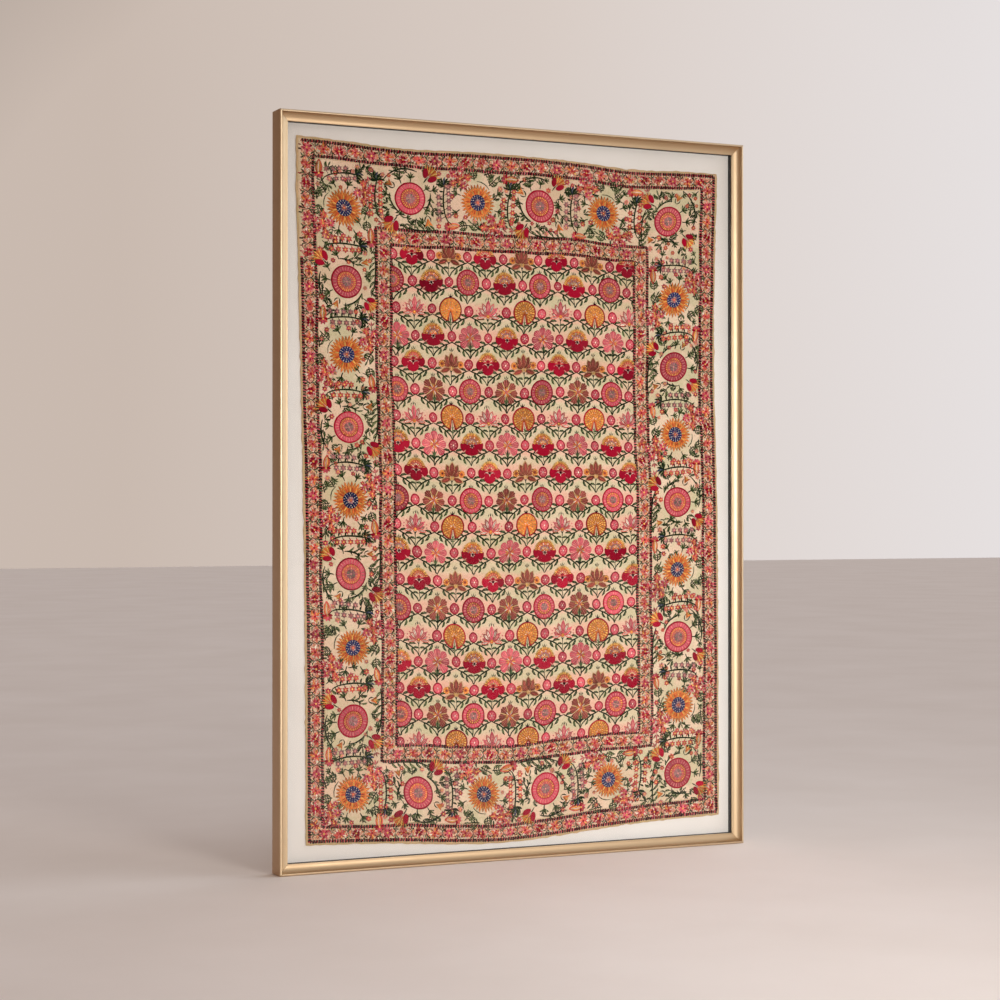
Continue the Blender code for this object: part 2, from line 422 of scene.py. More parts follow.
def makeRail(name, length, along):
    m = moulding
    top, front = m["top"], -m["depth"]
    half = length / 2
    past = half + m["spare"]
    scoopFloor = front + m["lipDrop"] + m["scoopDrop"]
    rail = addBlock(name, (-half, front, top - m["face"]), (half, 0, top))
    # the scoop is the lower half of an oval rod, with room above it and beyond its middle
    deselectAll()
    bpy.ops.mesh.primitive_cylinder_add(
        vertices=128, radius=1, depth=2 * past,
        location=(0, front + m["lipDrop"], top - m["scoopEnd"]), rotation=(0, math.pi / 2, 0))
    rod = bpy.context.object
    rod.scale = (m["scoopEnd"] - m["lip"], m["scoopDrop"], 1)
    bpy.ops.object.transform_apply(location=True, rotation=True, scale=True)
    carve(rail, rod)
    for fromY, toY, toZ in ((front - 0.01, front + m["lipDrop"], top - m["lip"]),
                            (front - 0.01, scoopFloor, top - m["scoopEnd"]),
                            (front + m["rabbetDepth"], 0.01, top - m["rabbetFrom"])):
        carve(rail, addBlock("room", (-past, fromY, top - 0.02), (past, toY, toZ)))

    for y, z, width, steps in ((front, top, "outerRound", 6), (front, top - m["lip"], "lipRound", 3),
                               (scoopFloor, top - m["face"], "sightRound", 5), (0, top, "backRound", 3)):
        def longEdgeThere(a, b):
            return all(abs(p.y - y) < 1e-5 and abs(p.z - z) < 1e-5 for p in (a, b)) and abs(a.x - b.x) > 0.1

        roundEdges(rail, longEdgeThere, m[width], steps)
    # a mitre at each end, set back by half the joint's gap
    inset = m["mitreGap"] / 2 * math.sqrt(2)
    for end in (1, -1):
        cutOff(rail, (end * (half - inset), 0, top), (end, 0, -1))
    pickOnly(rail)
    bpy.ops.object.mode_set(mode="EDIT")
    bpy.ops.mesh.select_all(action="SELECT")
    bpy.ops.mesh.remove_doubles(threshold=1e-6)
    # an end that the cut left open gets its face
    bpy.ops.mesh.select_mode(type="EDGE")
    bpy.ops.mesh.select_all(action="DESELECT")
    bpy.ops.mesh.select_non_manifold(extend=False)
    bpy.ops.mesh.edge_face_add()
    bpy.ops.mesh.select_all(action="SELECT")
    bpy.ops.mesh.normals_make_consistent(inside=False)
    bpy.ops.object.mode_set(mode="OBJECT")
    for finish in ("face", "side", "wood"):
        rail.data.materials.append(gildedFinishes[along][finish])
    for face in rail.data.polygons:
        # outer side in the dark brown gilt that paints its shade, back and rabbet bare wood, the rest gilt
        if face.normal.z > 0.999 and face.center.z > top - 1e-4:
            face.material_index = 1
        elif face.normal.y > 0.9 or (face.normal.z < -0.9 and face.center.y > front + m["rabbetDepth"]):
            face.material_index = 2
    bpy.ops.object.shade_smooth_by_angle(angle=math.radians(m["smoothUnder"]))
    return rail


gildedFinishes = {
    side: {"face": makeGilding("gilt face " + side, side),
           # the outer sides get the dark brown gilt, painted shade
           "side": makeGilding("shaded gilt outer side " + side, side, True),
           "wood": makeBareWood("bare moulding wood " + side, side)}
    for side in ("x", "z")
}

centreZ = moulding["top"] - moulding["height"] / 2
railTop = makeRail("railTop", moulding["width"], "x")
railBottom = copyPiece(railTop, "railBottom", math.pi, (0, 0, 2 * centreZ))
# the upright pair starts as a level rail round the frame's middle, then turns a quarter
upright = makeRail("upright", moulding["height"], "z")
shiftToMiddle = moulding["width"] / 2 - moulding["top"]
railRight = copyPiece(upright, "railRight", math.pi / 2, (shiftToMiddle, 0, centreZ))
railLeft = copyPiece(upright, "railLeft", -math.pi / 2, (-shiftToMiddle, 0, centreZ))
bpy.data.objects.remove(upright, do_unlink=True)
for rail, node in ((railTop, "frame_top"), (railBottom, "frame_bottom"),
                   (railLeft, "frame_left"), (railRight, "frame_right")):
    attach(rail, "root")
    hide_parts(node)
print("moulding made, four mitred rails")


# glass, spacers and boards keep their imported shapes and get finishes

def makeGlass():
    material = bpy.data.materials.new("clear picture glass")
    material.use_nodes = True
    tree = material.node_tree
    tree.nodes.clear()
    out = addNode(tree, "ShaderNodeOutputMaterial")
    clear = addNode(tree, "ShaderNodeBsdfTransparent")
    clear.inputs["Color"].default_value = (0.985, 0.992, 0.988, 1)
    gloss = addNode(tree, "ShaderNodeBsdfAnisotropic")
    gloss.inputs["Roughness"].default_value = 0.02
    slant = addNode(tree, "ShaderNodeFresnel")
    slant.inputs["IOR"].default_value = 1.45
    # rays go straight through, so only the face that they meet from outside mirrors
    facing = addNode(tree, "ShaderNodeNewGeometry")
    outside = minus(tree, 1.0, facing.outputs["Backfacing"])
    both = addNode(tree, "ShaderNodeMixShader")
    tree.links.new(times(tree, slant.outputs[0], outside), both.inputs[0])
    tree.links.new(clear.outputs[0], both.inputs[1])
    tree.links.new(gloss.outputs[0], both.inputs[2])
    tree.links.new(both.outputs[0], out.inputs["Surface"])
    return material


def makeBoard(name, light, dark, flecks, grainScale, bump):
    material, tree, shader = startMaterial(name)
    place = objectPlace(tree)
    mottle = spread(tree, cloudiness(tree, place, 7.0, 4.0), 0.3, 0.7)
    pulp = cloudiness(tree, place, grainScale, 5.0, 0.75)
    tint = blendColours(tree, mottle, light, dark)
    tint = blendColours(tree, spread(tree, pulp, 0.6, 0.75, 0.0, 0.5), tint, flecks)
    wear = placeGroup(tree, softWear, Place=place, Amount=0.4, Scale=14.0)
    tint = blendColours(tree, times(tree, wear.outputs["Speckle"], 0.4), tint, flecks)
    dress(tree, shader, tint, spread(tree, pulp, 0.3, 0.7, 0.78, 0.95), relief(tree, pulp, bump, 0.4))
    return material


# spacer strips in a near-black that is partly their own black and partly painted shade for the gap under the
# lip
def makeSpacerBlackAndShade():
    material, tree, shader = startMaterial("matt black spacer with painted shade")
    place = objectPlace(tree)
    pits = cloudiness(tree, place, 1200.0, 3.0, 0.6)
    tint = blendColours(tree, spread(tree, pits, 0.4, 0.7), (0.012, 0.011, 0.010, 1),
                        (0.03, 0.027, 0.024, 1))
    dress(tree, shader, tint, spread(tree, pits, 0.3, 0.7, 0.5, 0.75), relief(tree, pits, 0.00005, 0.4))
    return material


def refinish(node, material):
    piece = bpy.data.objects[node]
    for slot in piece.material_slots:
        slot.material = material
    if not piece.material_slots:
        piece.data.materials.append(material)


refinish("glazing", makeGlass())
spacerBlackAndShade = makeSpacerBlackAndShade()
for node in ("spacer_top", "spacer_bottom", "spacer_left", "spacer_right"):
    refinish(node, spacerBlackAndShade)
refinish("mount_board", makeBoard("off-white mount board", shade(239, 231, 224), shade(233, 224, 216),
                                  shade(205, 196, 180), 700.0, 0.00008))
refinish("backing_board", makeBoard("brown backing board", shade(168, 132, 94), shade(146, 112, 78),
                                    shade(110, 82, 56), 420.0, 0.00012))
print("glass, spacers and boards finished")


# the cloth's outline, metres in the frame; each side starts at the corner that it names

clothShape = {
    "corners": {"top": (-.3215, -.0303), "right": (.3170, -.0411),
                "bottom": (.3199, -.9605), "left": (-.3073, -.9650)},
    "humps": {"top": [(-.0050, .24, .12), (-.0045, .78, .11)], "right": [(-.0056, .27, .19)],
              "bottom": [(.0158, .54, .26)], "left": [(-.0030, .42, .34), (.0012, .92, .06)]},
    "cornerFade": .08, "front": -.0118, "back": -.0109,
    "across": 96, "down": 144, "rugWidth": 632.0, "rugHeight": 932.0,
}
rugHalf, rugTall = clothShape["rugWidth"] / 2, clothShape["rugHeight"]
# what the ground's finish follows, in rug millimetres in from the edge
groundBands = {"field": (130.0, 132.0), "guards": ((7.0, 22.5), (111.5, 129.5)), "guardSoft": 0.7,
               "hazeRow": 36.3, "hazeStart": 142.0, "worn": (1.0, 7.0), "frayed": 0.5}
sideOrder = ["top", "right", "bottom", "left"]


def sidePoint(side, share):
    start = np.array(clothShape["corners"][side])
    end = np.array(clothShape["corners"][sideOrder[(sideOrder.index(side) + 1) % 4]])
    along = (end - start) / np.linalg.norm(end - start)
    outwards = np.array([-along[1], along[0]])
    fade = clothShape["cornerFade"]
    swell = sum(amount * np.exp(-((share - middle) / width) ** 2)
                for amount, middle, width in clothShape["humps"][side])
    swell = swell * np.minimum(1, np.minimum(share / fade, (1 - share) / fade))
    return start + np.multiply.outer(share, end - start) + np.multiply.outer(swell, outwards)


# rug millimetres, x from the middle and z down from its top edge, to metres in the frame
def toFrame(x, z):
    u = np.clip(x / clothShape["rugWidth"] + 0.5, 0, 1)
    v = np.clip(-z / clothShape["rugHeight"], 0, 1)
    corner = {side: np.array(point) for side, point in clothShape["corners"].items()}
    u2, v2 = u[:, None], v[:, None]
    spot = ((1 - v2) * sidePoint("top", u) + v2 * sidePoint("bottom", 1 - u)
            + (1 - u2) * sidePoint("left", 1 - v) + u2 * sidePoint("right", v)
            - ((1 - u2) * (1 - v2) * corner["top"] + u2 * (1 - v2) * corner["right"]
               + u2 * v2 * corner["bottom"] + (1 - u2) * v2 * corner["left"]))
    return spot[:, 0], spot[:, 1] + moulding["top"]


def rippleAt(x, z):
    return (0.00010 * np.sin(x * 31 + 1.3 * np.sin(z * 9)) + 0.00008 * np.sin(z * 43 + 2 * x)
            + 0.00006 * np.sin(x * 74 - z * 38) + 0.00004 * np.sin(z * 130 + x * 96))


def makeClothMaterial():
    material, tree, shader = startMaterial("old cream ground cloth")
    place = objectPlace(tree)
    rugMap = addNode(tree, "ShaderNodeUVMap", uv_map="rugMap")
    rows = placeGroup(tree, stitchRows, Place=rugMap.outputs[0], RowWidth=1.5, LinkLength=2.4, Wobble=1.4)
    weave = placeGroup(tree, plainWeave, Place=place, Pitch=0.0007)
    broad = cloudiness(tree, place, 26.0, 3.0, 0.6)
    second = cloudiness(tree, objectPlace(tree, (1, 1, 1), (0.4, 0.9, 0.2)), 17.0, 3.0, 0.6)
    flecks = cloudiness(tree, place, 420.0, 3.0, 0.75)
    tint = blendColours(tree, spread(tree, broad, 0.42, 0.56, 0.0, 0.9), shade(246, 216, 186),
                        shade(214, 202, 162))
    tint = blendColours(tree, spread(tree, second, 0.46, 0.6, 0.0, 0.5), tint, shade(244, 198, 172))
    edge = addNode(tree, "ShaderNodeSeparateXYZ")
    tree.links.new(rugMap.outputs[0], edge.inputs[0])
    sideways = minus(tree, rugHalf, reckon(tree, "ABSOLUTE", edge.outputs[0]))
    fromMiddle = reckon(tree, "ABSOLUTE", plus(tree, edge.outputs[1], rugTall / 2))
    upDown = minus(tree, rugTall / 2, fromMiddle)
    nearest = reckon(tree, "MINIMUM", sideways, upDown)
    # the flowers have bled a little, so each row lies in a pink haze with khaki between the rows
    bands = groundBands
    wave = reckon(tree, "COSINE", times(tree, plus(tree, edge.outputs[1], bands["hazeStart"]),
                                        2 * math.pi / bands["hazeRow"]))
    wave = plus(tree, wave, reckon(tree, "MULTIPLY_ADD", second, 3.0, -1.5))
    inField = spread(tree, nearest, *bands["field"])
    tint = blendColours(tree, times(tree, spread(tree, wave, 0.0, -0.9, 0.0, 0.6), inField),
                        tint, shade(220, 206, 166))
    tint = blendColours(tree, times(tree, spread(tree, wave, -0.6, 0.6, 0.0, 0.9), inField),
                        tint, shade(248, 188, 164))
    # the edge strip outside the last chain line has darkened
    tint = blendColours(tree, spread(tree, nearest, *bands["worn"], 0.75, 0.0), tint, shade(196, 160, 108))
    # the guards are worked all over in tiny stitches of many colours
    cells = addNode(tree, "ShaderNodeTexVoronoi")
    tree.links.new(rugMap.outputs[0], cells.inputs["Vector"])
    cells.inputs["Scale"].default_value = 0.62
    pick = addNode(tree, "ShaderNodeSeparateColor")
    tree.links.new(cells.outputs["Color"], pick.inputs[0])
    mixed = addNode(tree, "ShaderNodeValToRGB")
    mixed.color_ramp.interpolation = "CONSTANT"
    stops = ((0.0, (214, 92, 84)), (0.20, (238, 178, 150)), (0.34, (228, 128, 78)), (0.46, (190, 40, 66)),
             (0.56, (240, 214, 184)), (0.82, (66, 66, 40)), (0.92, (240, 192, 116)))
    for share, look in stops[:2]:
        stop = mixed.color_ramp.elements[stops.index((share, look))]
        stop.position, stop.color = share, shade(*look)
    for share, look in stops[2:]:
        mixed.color_ramp.elements.new(share).color = shade(*look)
    tree.links.new(pick.outputs[0], mixed.inputs[0])
    guardBands = 0.0
    soft = bands["guardSoft"]
    for low, high in bands["guards"]:
        band = times(tree, spread(tree, nearest, low - soft, low + soft),
                     spread(tree, nearest, high - soft, high + soft, 1.0, 0.0))
        guardBands = plus(tree, band, guardBands)
    tint = blendColours(tree, times(tree, guardBands, 0.6), tint, mixed.outputs[0])
    tint = blendColours(tree, spread(tree, flecks, 0.5, 0.72, 0.0, 0.6), tint, shade(176, 146, 108))
    stainPlace = objectPlace(tree, (1, 1, 1), (0.2, 0.3, 1.1))
    stains = spread(tree, cloudiness(tree, stainPlace, 6.0, 4.0), 0.58, 0.8)
    tint = blendColours(tree, times(tree, stains, 0.35), tint, shade(200, 160, 104))
    # painted shade: the ground colour is darkened in the grooves between the stitch rows
    paintedGrooveShade = times(tree, rows.outputs["Groove"], 0.32)
    tint = blendColours(tree, paintedGrooveShade, tint, shade(150, 118, 80))
    feed(tree, shader.inputs["Base Color"], tint)
    feed(tree, shader.inputs["Roughness"], spread(tree, flecks, 0.3, 0.7, 0.8, 0.95))
    shader.inputs["Specular IOR Level"].default_value = 0.2
    normal = relief(tree, weave.outputs["Height"], 0.00012, 0.5)
    feed(tree, shader.inputs["Normal"], relief(tree, rows.outputs["Height"], 0.0003, 0.6, normal))
    return material


def makeCloth():
    c = clothShape
    deselectAll()
    bpy.ops.mesh.primitive_grid_add(x_subdivisions=c["across"], y_subdivisions=c["down"], size=1)
    cloth = bpy.context.object
    cloth.name = "clothGround"
    mesh = cloth.data
    flat = np.empty(len(mesh.vertices) * 3)
    mesh.vertices.foreach_get("co", flat)
    flat = flat.reshape(-1, 3)
    rugX, rugZ = flat[:, 0] * c["rugWidth"], (flat[:, 1] - 0.5) * c["rugHeight"]
    x, z = toFrame(rugX, rugZ)
    lift = rippleAt(x, z)
    # frayed, slightly uneven rim
    frayed = groundBands["frayed"]
    rim = (np.abs(rugX) > rugHalf - frayed) | (rugZ > -frayed) | (rugZ < frayed - rugTall)
    x = x + rim * dice.normal(0, 0.0004, len(x))
    z = z + rim * dice.normal(0, 0.0004, len(x))
    placed = np.stack([x, c["front"] - lift, z], 1)
    rugMap = mesh.uv_layers[0]
    rugMap.name = "rugMap"
    corner = np.empty(len(mesh.loops), int)
    mesh.loops.foreach_get("vertex_index", corner)
    rugMap.data.foreach_set("uv", np.stack([rugX, rugZ], 1)[corner].ravel())
    mesh.vertices.foreach_set("co", placed.ravel())
    mesh.update()
    # a front seen from -Y has to face that way
    if mesh.polygons[0].normal.y > 0:
        mesh.flip_normals()
    pickOnly(cloth)
    thick = cloth.modifiers.new("thickness", "SOLIDIFY")
    thick.thickness = c["back"] - c["front"]
    thick.offset = -1
    bpy.ops.object.modifier_apply(modifier=thick.name)
    bpy.ops.object.shade_smooth_by_angle(angle=math.radians(50))
    mesh.materials.clear()
    mesh.materials.append(makeClothMaterial())
    return cloth


cloth = makeCloth()
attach(cloth, "root")
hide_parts("textile")
print("cloth laid,", len(cloth.data.polygons), "faces")


# thread colours of the embroidery

threadColours = {
    "crimson": (170, 0, 40), "rose": (222, 88, 104), "coral": (224, 92, 80), "blush": (240, 156, 144),
    "cream": (252, 236, 214), "orange": (234, 124, 60), "saffron": (250, 196, 104), "russet": (144, 70, 56),
    "dustyRose": (198, 108, 98), "bottleGreen": (24, 42, 16), "olive": (60, 78, 34), "sage": (168, 170, 122),
    "navy": (34, 44, 92), "mauve": (166, 122, 122), "blackPlum": (26, 4, 8), "maroon": (116, 4, 32),
    "straw": (212, 168, 118), "vermilion": (226, 92, 54), "leafGreen": (108, 126, 82),
}
threadNames = list(threadColours)


def makeThread(name):
    material, tree, shader = startMaterial(name + " thread")
    place = objectPlace(tree)
    stitch = addNode(tree, "ShaderNodeUVMap", uv_map="stitch")
    tone = addNode(tree, "ShaderNodeAttribute", attribute_name="tone")
    rows = placeGroup(tree, stitchRows, Place=stitch.outputs[0], RowWidth=0.8, LinkLength=1.7, Wobble=0.2)
    base = shade(*threadColours[name])
    pale = shade(*[0.6 * c + 0.4 * g for c, g in zip(threadColours[name], (222, 190, 150))])
    look = placeGroup(tree, threadTone, Place=place, Base=base, Faded=pale, Tone=tone.outputs["Fac"],
                      Groove=rows.outputs["Groove"], Fading=0.16, Contrast=0.8)
    feed(tree, shader.inputs["Base Color"], look.outputs["Color"])
    feed(tree, shader.inputs["Roughness"], look.outputs["Roughness"])
    shader.inputs["Specular IOR Level"].default_value = 0.06
    feed(tree, shader.inputs["Normal"], relief(tree, rows.outputs["Height"], 0.0003, 0.8))
    return material


threads = {name: makeThread(name) for name in threadNames}
print("thread finishes made,", len(threads))


# hand embroidery: motifs are drawn in millimetres, x to the right and z up, and then stamped

def newMotif():
    return {"points": [], "height": [], "stitch": [], "faces": [], "thread": [], "level": [],
            "under": [], "part": [], "count": 0, "parts": 0}


def keep(motif, points, heights, stitch, faces, thread, level, under):
    first = motif["count"]
    faces = np.array(faces, int)
    motif["points"].append(points)
    motif["height"].append(np.array(heights, float))
    motif["stitch"].append(stitch)
    motif["faces"].append(np.where(faces >= 0, faces + first, -1))
    motif["thread"].append(np.full(len(faces), threadNames.index(thread)))
    motif["level"].append(np.full(len(faces), level))
    motif["under"].append(np.array(under, bool))
    motif["part"].append(np.full(len(points), motif["parts"]))
    motif["count"] += len(points)
    motif["parts"] += 1


# millimetres above the cloth at which a patch of this level ends, so that each one lies on the last
def topOf(level):
    return 0.16 + 0.14 * level if level >= 0 else -0.08


# a raised row of thread along a line, with its half width at each point
def layRow(motif, line, widths, thread, level=0):
    line = np.array(line, float)
    n = len(line)
    if np.ndim(widths) == 0:
        widths = np.full(n, float(widths))
    widths = np.interp(np.linspace(0, 1, n), np.linspace(0, 1, len(widths)), widths)
    along = np.gradient(line, axis=0)
    along /= np.maximum(np.linalg.norm(along, axis=1), 1e-6)[:, None]
    side = np.stack([-along[:, 1], along[:, 0]], 1) * widths[:, None]
    run = np.concatenate([[0], np.cumsum(np.linalg.norm(np.diff(line, axis=0), axis=1))])
    foot = np.full(n, topOf(level - 1) - 0.04)
    top = max(topOf(level - 1), 0) + 0.18 + 0.10 * np.minimum(widths, 1.5)
    points = np.concatenate([line + side, line, line - side])
    heights = np.concatenate([foot, top, foot])
    stitch = np.stack([np.tile(run, 3), np.concatenate([widths, np.zeros(n), -widths])], 1)
    left, ridge, right = np.arange(n), np.arange(n) + n, np.arange(n) + 2 * n
    faces, under = [], []
    for i in range(n - 1):
        faces += [[ridge[i], ridge[i + 1], left[i + 1], left[i]],
                  [right[i], right[i + 1], ridge[i + 1], ridge[i]],
                  [left[i], left[i + 1], right[i + 1], right[i]]]
        under += [False, False, True]
    faces += [[left[0], right[0], ridge[0], -1], [left[-1], ridge[-1], right[-1], -1]]
    under += [False, False]
    keep(motif, points, heights, stitch, faces, thread, level, under)


# a filled, slightly padded shape; its outline runs anticlockwise and sees its middle
def layPatch(motif, outline, thread, level=0, middle=None, shoulder=0.55):
    outline = np.array(outline, float)
    n = len(outline)
    middle = outline.mean(0) if middle is None else np.array(middle, float)
    reach = np.linalg.norm(outline - middle, axis=1)
    inner = middle + (outline - middle) * np.maximum(0.35, 1 - shoulder / np.maximum(reach, 0.1))[:, None]
    top = topOf(level)
    foot = topOf(level - 1) - 0.04
    points = np.concatenate([outline, inner, [middle, middle]])
    heights = np.concatenate([np.full(n, foot), np.full(n, top), [top + 0.03, foot]])
    faces, under = [], []
    for i in range(n):
        j = (i + 1) % n
        faces += [[i, j, n + j, n + i], [n + i, n + j, 2 * n, -1], [j, i, 2 * n + 1, -1]]
        under += [False, False, True]
    keep(motif, points, heights, points, faces, thread, level, under)


def curve(a, b, bow, n=5):
    a, b = np.array(a, float), np.array(b, float)
    t = np.linspace(0, 1, n)[:, None]
    across = np.array([-(b - a)[1], (b - a)[0]])
    return a + (b - a) * t + across * bow * 4 * t * (1 - t)


def smoothLine(points, n):
    points = np.array(points, float)
    run = np.concatenate([[0], np.cumsum(np.linalg.norm(np.diff(points, axis=0), axis=1))])
    fine = np.linspace(0, run[-1], 40)
    x, z = np.interp(fine, run, points[:, 0]), np.interp(fine, run, points[:, 1])
    for _ in range(6):
        x[1:-1] = (x[:-2] + x[1:-1] + x[2:]) / 3
        z[1:-1] = (z[:-2] + z[1:-1] + z[2:]) / 3
    spots = np.linspace(0, 39, n)
    return np.stack([np.interp(spots, range(40), x), np.interp(spots, range(40), z)], 1)


def leafStroke(motif, a, b, bow, width, thread, level=0, vein=None):
    long = math.dist(a, b)
    steps = 3 if long < 6.5 else 4 if long < 12 else 5
    plump = np.sin(np.pi * np.linspace(0.05, 0.97, steps)) ** 0.7 * width
    layRow(motif, curve(a, b, bow, steps), plump, thread, level)
    if vein:
        layRow(motif, curve(a, b, bow, 5)[1:4], [0.2 * width, 0.42 * width, 0.12 * width], vein, level + 1)


# a pointed petal as a filled patch
def petal(motif, a, b, half, thread, level=0):
    a, b = np.array(a, float), np.array(b, float)
    along = b - a
    side = np.array([-along[1], along[0]]) / np.linalg.norm(along) * half
    rise = ((0.2, 0.6), (0.45, 1.0), (0.78, 0.7))
    near = [a + along * t - side * w for t, w in rise]
    far = [a + along * t + side * w for t, w in rise[::-1]]
    layPatch(motif, [a, *near, b, *far], thread, level, a + along * 0.5, shoulder=0.3)


# the other half of an outline, in the order that carries on from the first
def mirrored(points):
    return [(-x, z) for x, z in points[::-1]]


def polar(centre, degrees, radius):
    a = math.radians(degrees)
    return (centre[0] + radius * math.cos(a), centre[1] + radius * math.sin(a))


def spoke(motif, centre, degrees, inner, outer, *look):
    leafStroke(motif, polar(centre, degrees, inner), polar(centre, degrees, outer), *look)


def rays(motif, centre, inner, outer, degrees, widths, colours, level=0, steps=3):
    for i, angle in enumerate(degrees):
        a, b = np.array(polar(centre, angle, inner)), np.array(polar(centre, angle, outer))
        line = a + (b - a) * np.linspace(0, 1, steps)[:, None]
        layRow(motif, line, widths, colours[i % len(colours)], level)


def ovalPoints(centre, radiusX, radiusZ, n, power=2.0, turn=0.0):
    points = []
    for i in range(n):
        a = 2 * math.pi * i / n
        c, s = math.cos(a), math.sin(a)
        x = radiusX * math.copysign(abs(c) ** (2 / power), c)
        z = radiusZ * math.copysign(abs(s) ** (2 / power), s)
        t = math.radians(turn)
        points.append((centre[0] + x * math.cos(t) - z * math.sin(t),
                       centre[1] + x * math.sin(t) + z * math.cos(t)))
    return points


def disc(motif, centre, radius, thread, level=0, n=12, radiusZ=None, power=2.0):
    layPatch(motif, ovalPoints(centre, radius, radiusZ or radius, n, power), thread, level, centre,
             min(0.55, 0.4 * radius))


# the upper part of a disc
def fan(motif, centre, radius, thread, level=0, n=15):
    layPatch(motif, [polar(centre, a, radius) for a in np.linspace(-4, 184, n)], thread, level,
             (centre[0], centre[1] + 0.35 * radius), min(0.55, 0.2 * radius))


def around(start, end, n):
    return [start + (end - start) * (i + 0.5) / n for i in range(n)]


def crown(motif, z, thread="bottleGreen"):
    leafStroke(motif, (0, z - 0.5), (0, z + 5.0), 0, 0.9, thread)
    for side in (-1, 1):
        leafStroke(motif, (side * 0.5, z - 0.5), (side * 3.0, z + 3.8), side * -0.1, 0.8, thread)


def stalk(motif, z, bottom=-28.0):
    layRow(motif, [(0, z), (0.4, (z + bottom) / 2), (0, bottom)], 0.55, "bottleGreen")
    for side in (-1, 1):
        leafStroke(motif, (0, z - 6), (side * 3.0, z + 1.5), side * 0.15, 0.7, "bottleGreen")


# a pink wheel: crimson rim, ribbed pink band, yellow and orange stitches, speckled middle
def layWheel(m, radius, tall, ribs):
    disc(m, (0, 0), radius, "crimson", 0, 30, radius * tall)
    disc(m, (0, 0), radius - 1.8, "rose", 1, 30, (radius - 1.8) * tall)
    rays(m, (0, 0), radius * 0.68, radius - 2.4, around(0, 360, int(ribs * 0.85)), [0.5, 0.75],
         ["blush"], 2, 2)
    disc(m, (0, 0), radius * 0.65, "crimson", 2, 22)
    disc(m, (0, 0), radius * 0.61, "coral", 3, 22)
    rays(m, (0, 0), radius * 0.46, radius * 0.59, around(0, 360, int(ribs * 0.8)), [0.6, 0.8],
         ["saffron"], 4, 2)
    disc(m, (0, 0), radius * 0.44, "rose", 4, 16)
    rays(m, (0, 0), radius * 0.32, radius * 0.42, around(0, 360, int(ribs * 0.62)), [0.5, 0.65],
         ["saffron", "straw"], 5, 2)
    disc(m, (0, 0), radius * 0.31, "mauve", 5, 12)
    rays(m, (0, 0), radius * 0.1, radius * 0.29, around(0, 360, 10), [0.4, 0.6],
         ["dustyRose", "straw", "russet", "leafGreen", "blush"], 6, 2)
    disc(m, (0, 0), radius * 0.06, "blush", 7, 6)


def pinkRoundel():
    m = newMotif()
    layWheel(m, 17.3, 1.04, 26)
    crown(m, 17.4)
    layRow(m, [(-0.7, -17.5), (-0.9, -22), (-0.2, -28)], 0.6, "bottleGreen")
    layRow(m, [(0.8, -17.5), (0.8, -22), (0.2, -28)], 0.5, "olive")
    return m


def crimsonLobes(m, top):
    lobe = [(16.2, top), (17.4, 0.5), (16.9, -4), (14.4, -7.8), (11.6, -9.3), (10.2, -11.6), (6.4, -13.9)]
    points = lobe + [(0, -15.0)] + mirrored(lobe) + [(-9, top + 0.6), (0, top - 0.8), (9, top + 0.6)]
    layPatch(m, points, "crimson", 1, (0, -5))
    for side in (-1, 1):
        leafStroke(m, (side * 13.6, -10.6), (side * 8.8, -6.4), 0, 1.1, "blush", 2)


def crimsonFan():
    m = newMotif()
    fan(m, (0, 1.0), 14.8, "vermilion", 0, n=20)
    rays(m, (0, 1.0), 11.6, 15.8, around(0, 180, 17), [0.9, 1.2, 0.6], ["saffron"], 1)
    fan(m, (0, 1.0), 11.0, "coral", 1)
    rays(m, (0, 1.0), 8.3, 10.7, around(4, 176, 13), [0.7, 0.9], ["saffron", "saffron", "cream"], 2, 2)
    fan(m, (0, 1.0), 7.9, "mauve", 2)
    rays(m, (0, 1.0), 5.9, 7.6, around(8, 172, 12), [0.4, 0.5], ["straw", "dustyRose"], 3, 2)
    fan(m, (0, 1.0), 5.6, "vermilion", 3)
    rays(m, (0, 1.0), 2.2, 5.3, around(14, 166, 7), [0.45, 0.75], ["saffron", "cream"], 4, 2)
    crimsonLobes(m, 3.0)
    rays(m, (0, -1.4), 1.5, 3.4, around(-10, 350, 6), [0.55, 0.65], ["cream"], 5, 2)
    disc(m, (0, -1.4), 1.5, "blackPlum", 6, 7, 1.9)
    crown(m, 16.0)
    layRow(m, [(0, -14.8), (-0.8, -19), (0.2, -23)], 0.6, "blackPlum")
    layRow(m, [(0.2, -22), (0.4, -26), (0, -28)], 0.5, "bottleGreen")
    return m


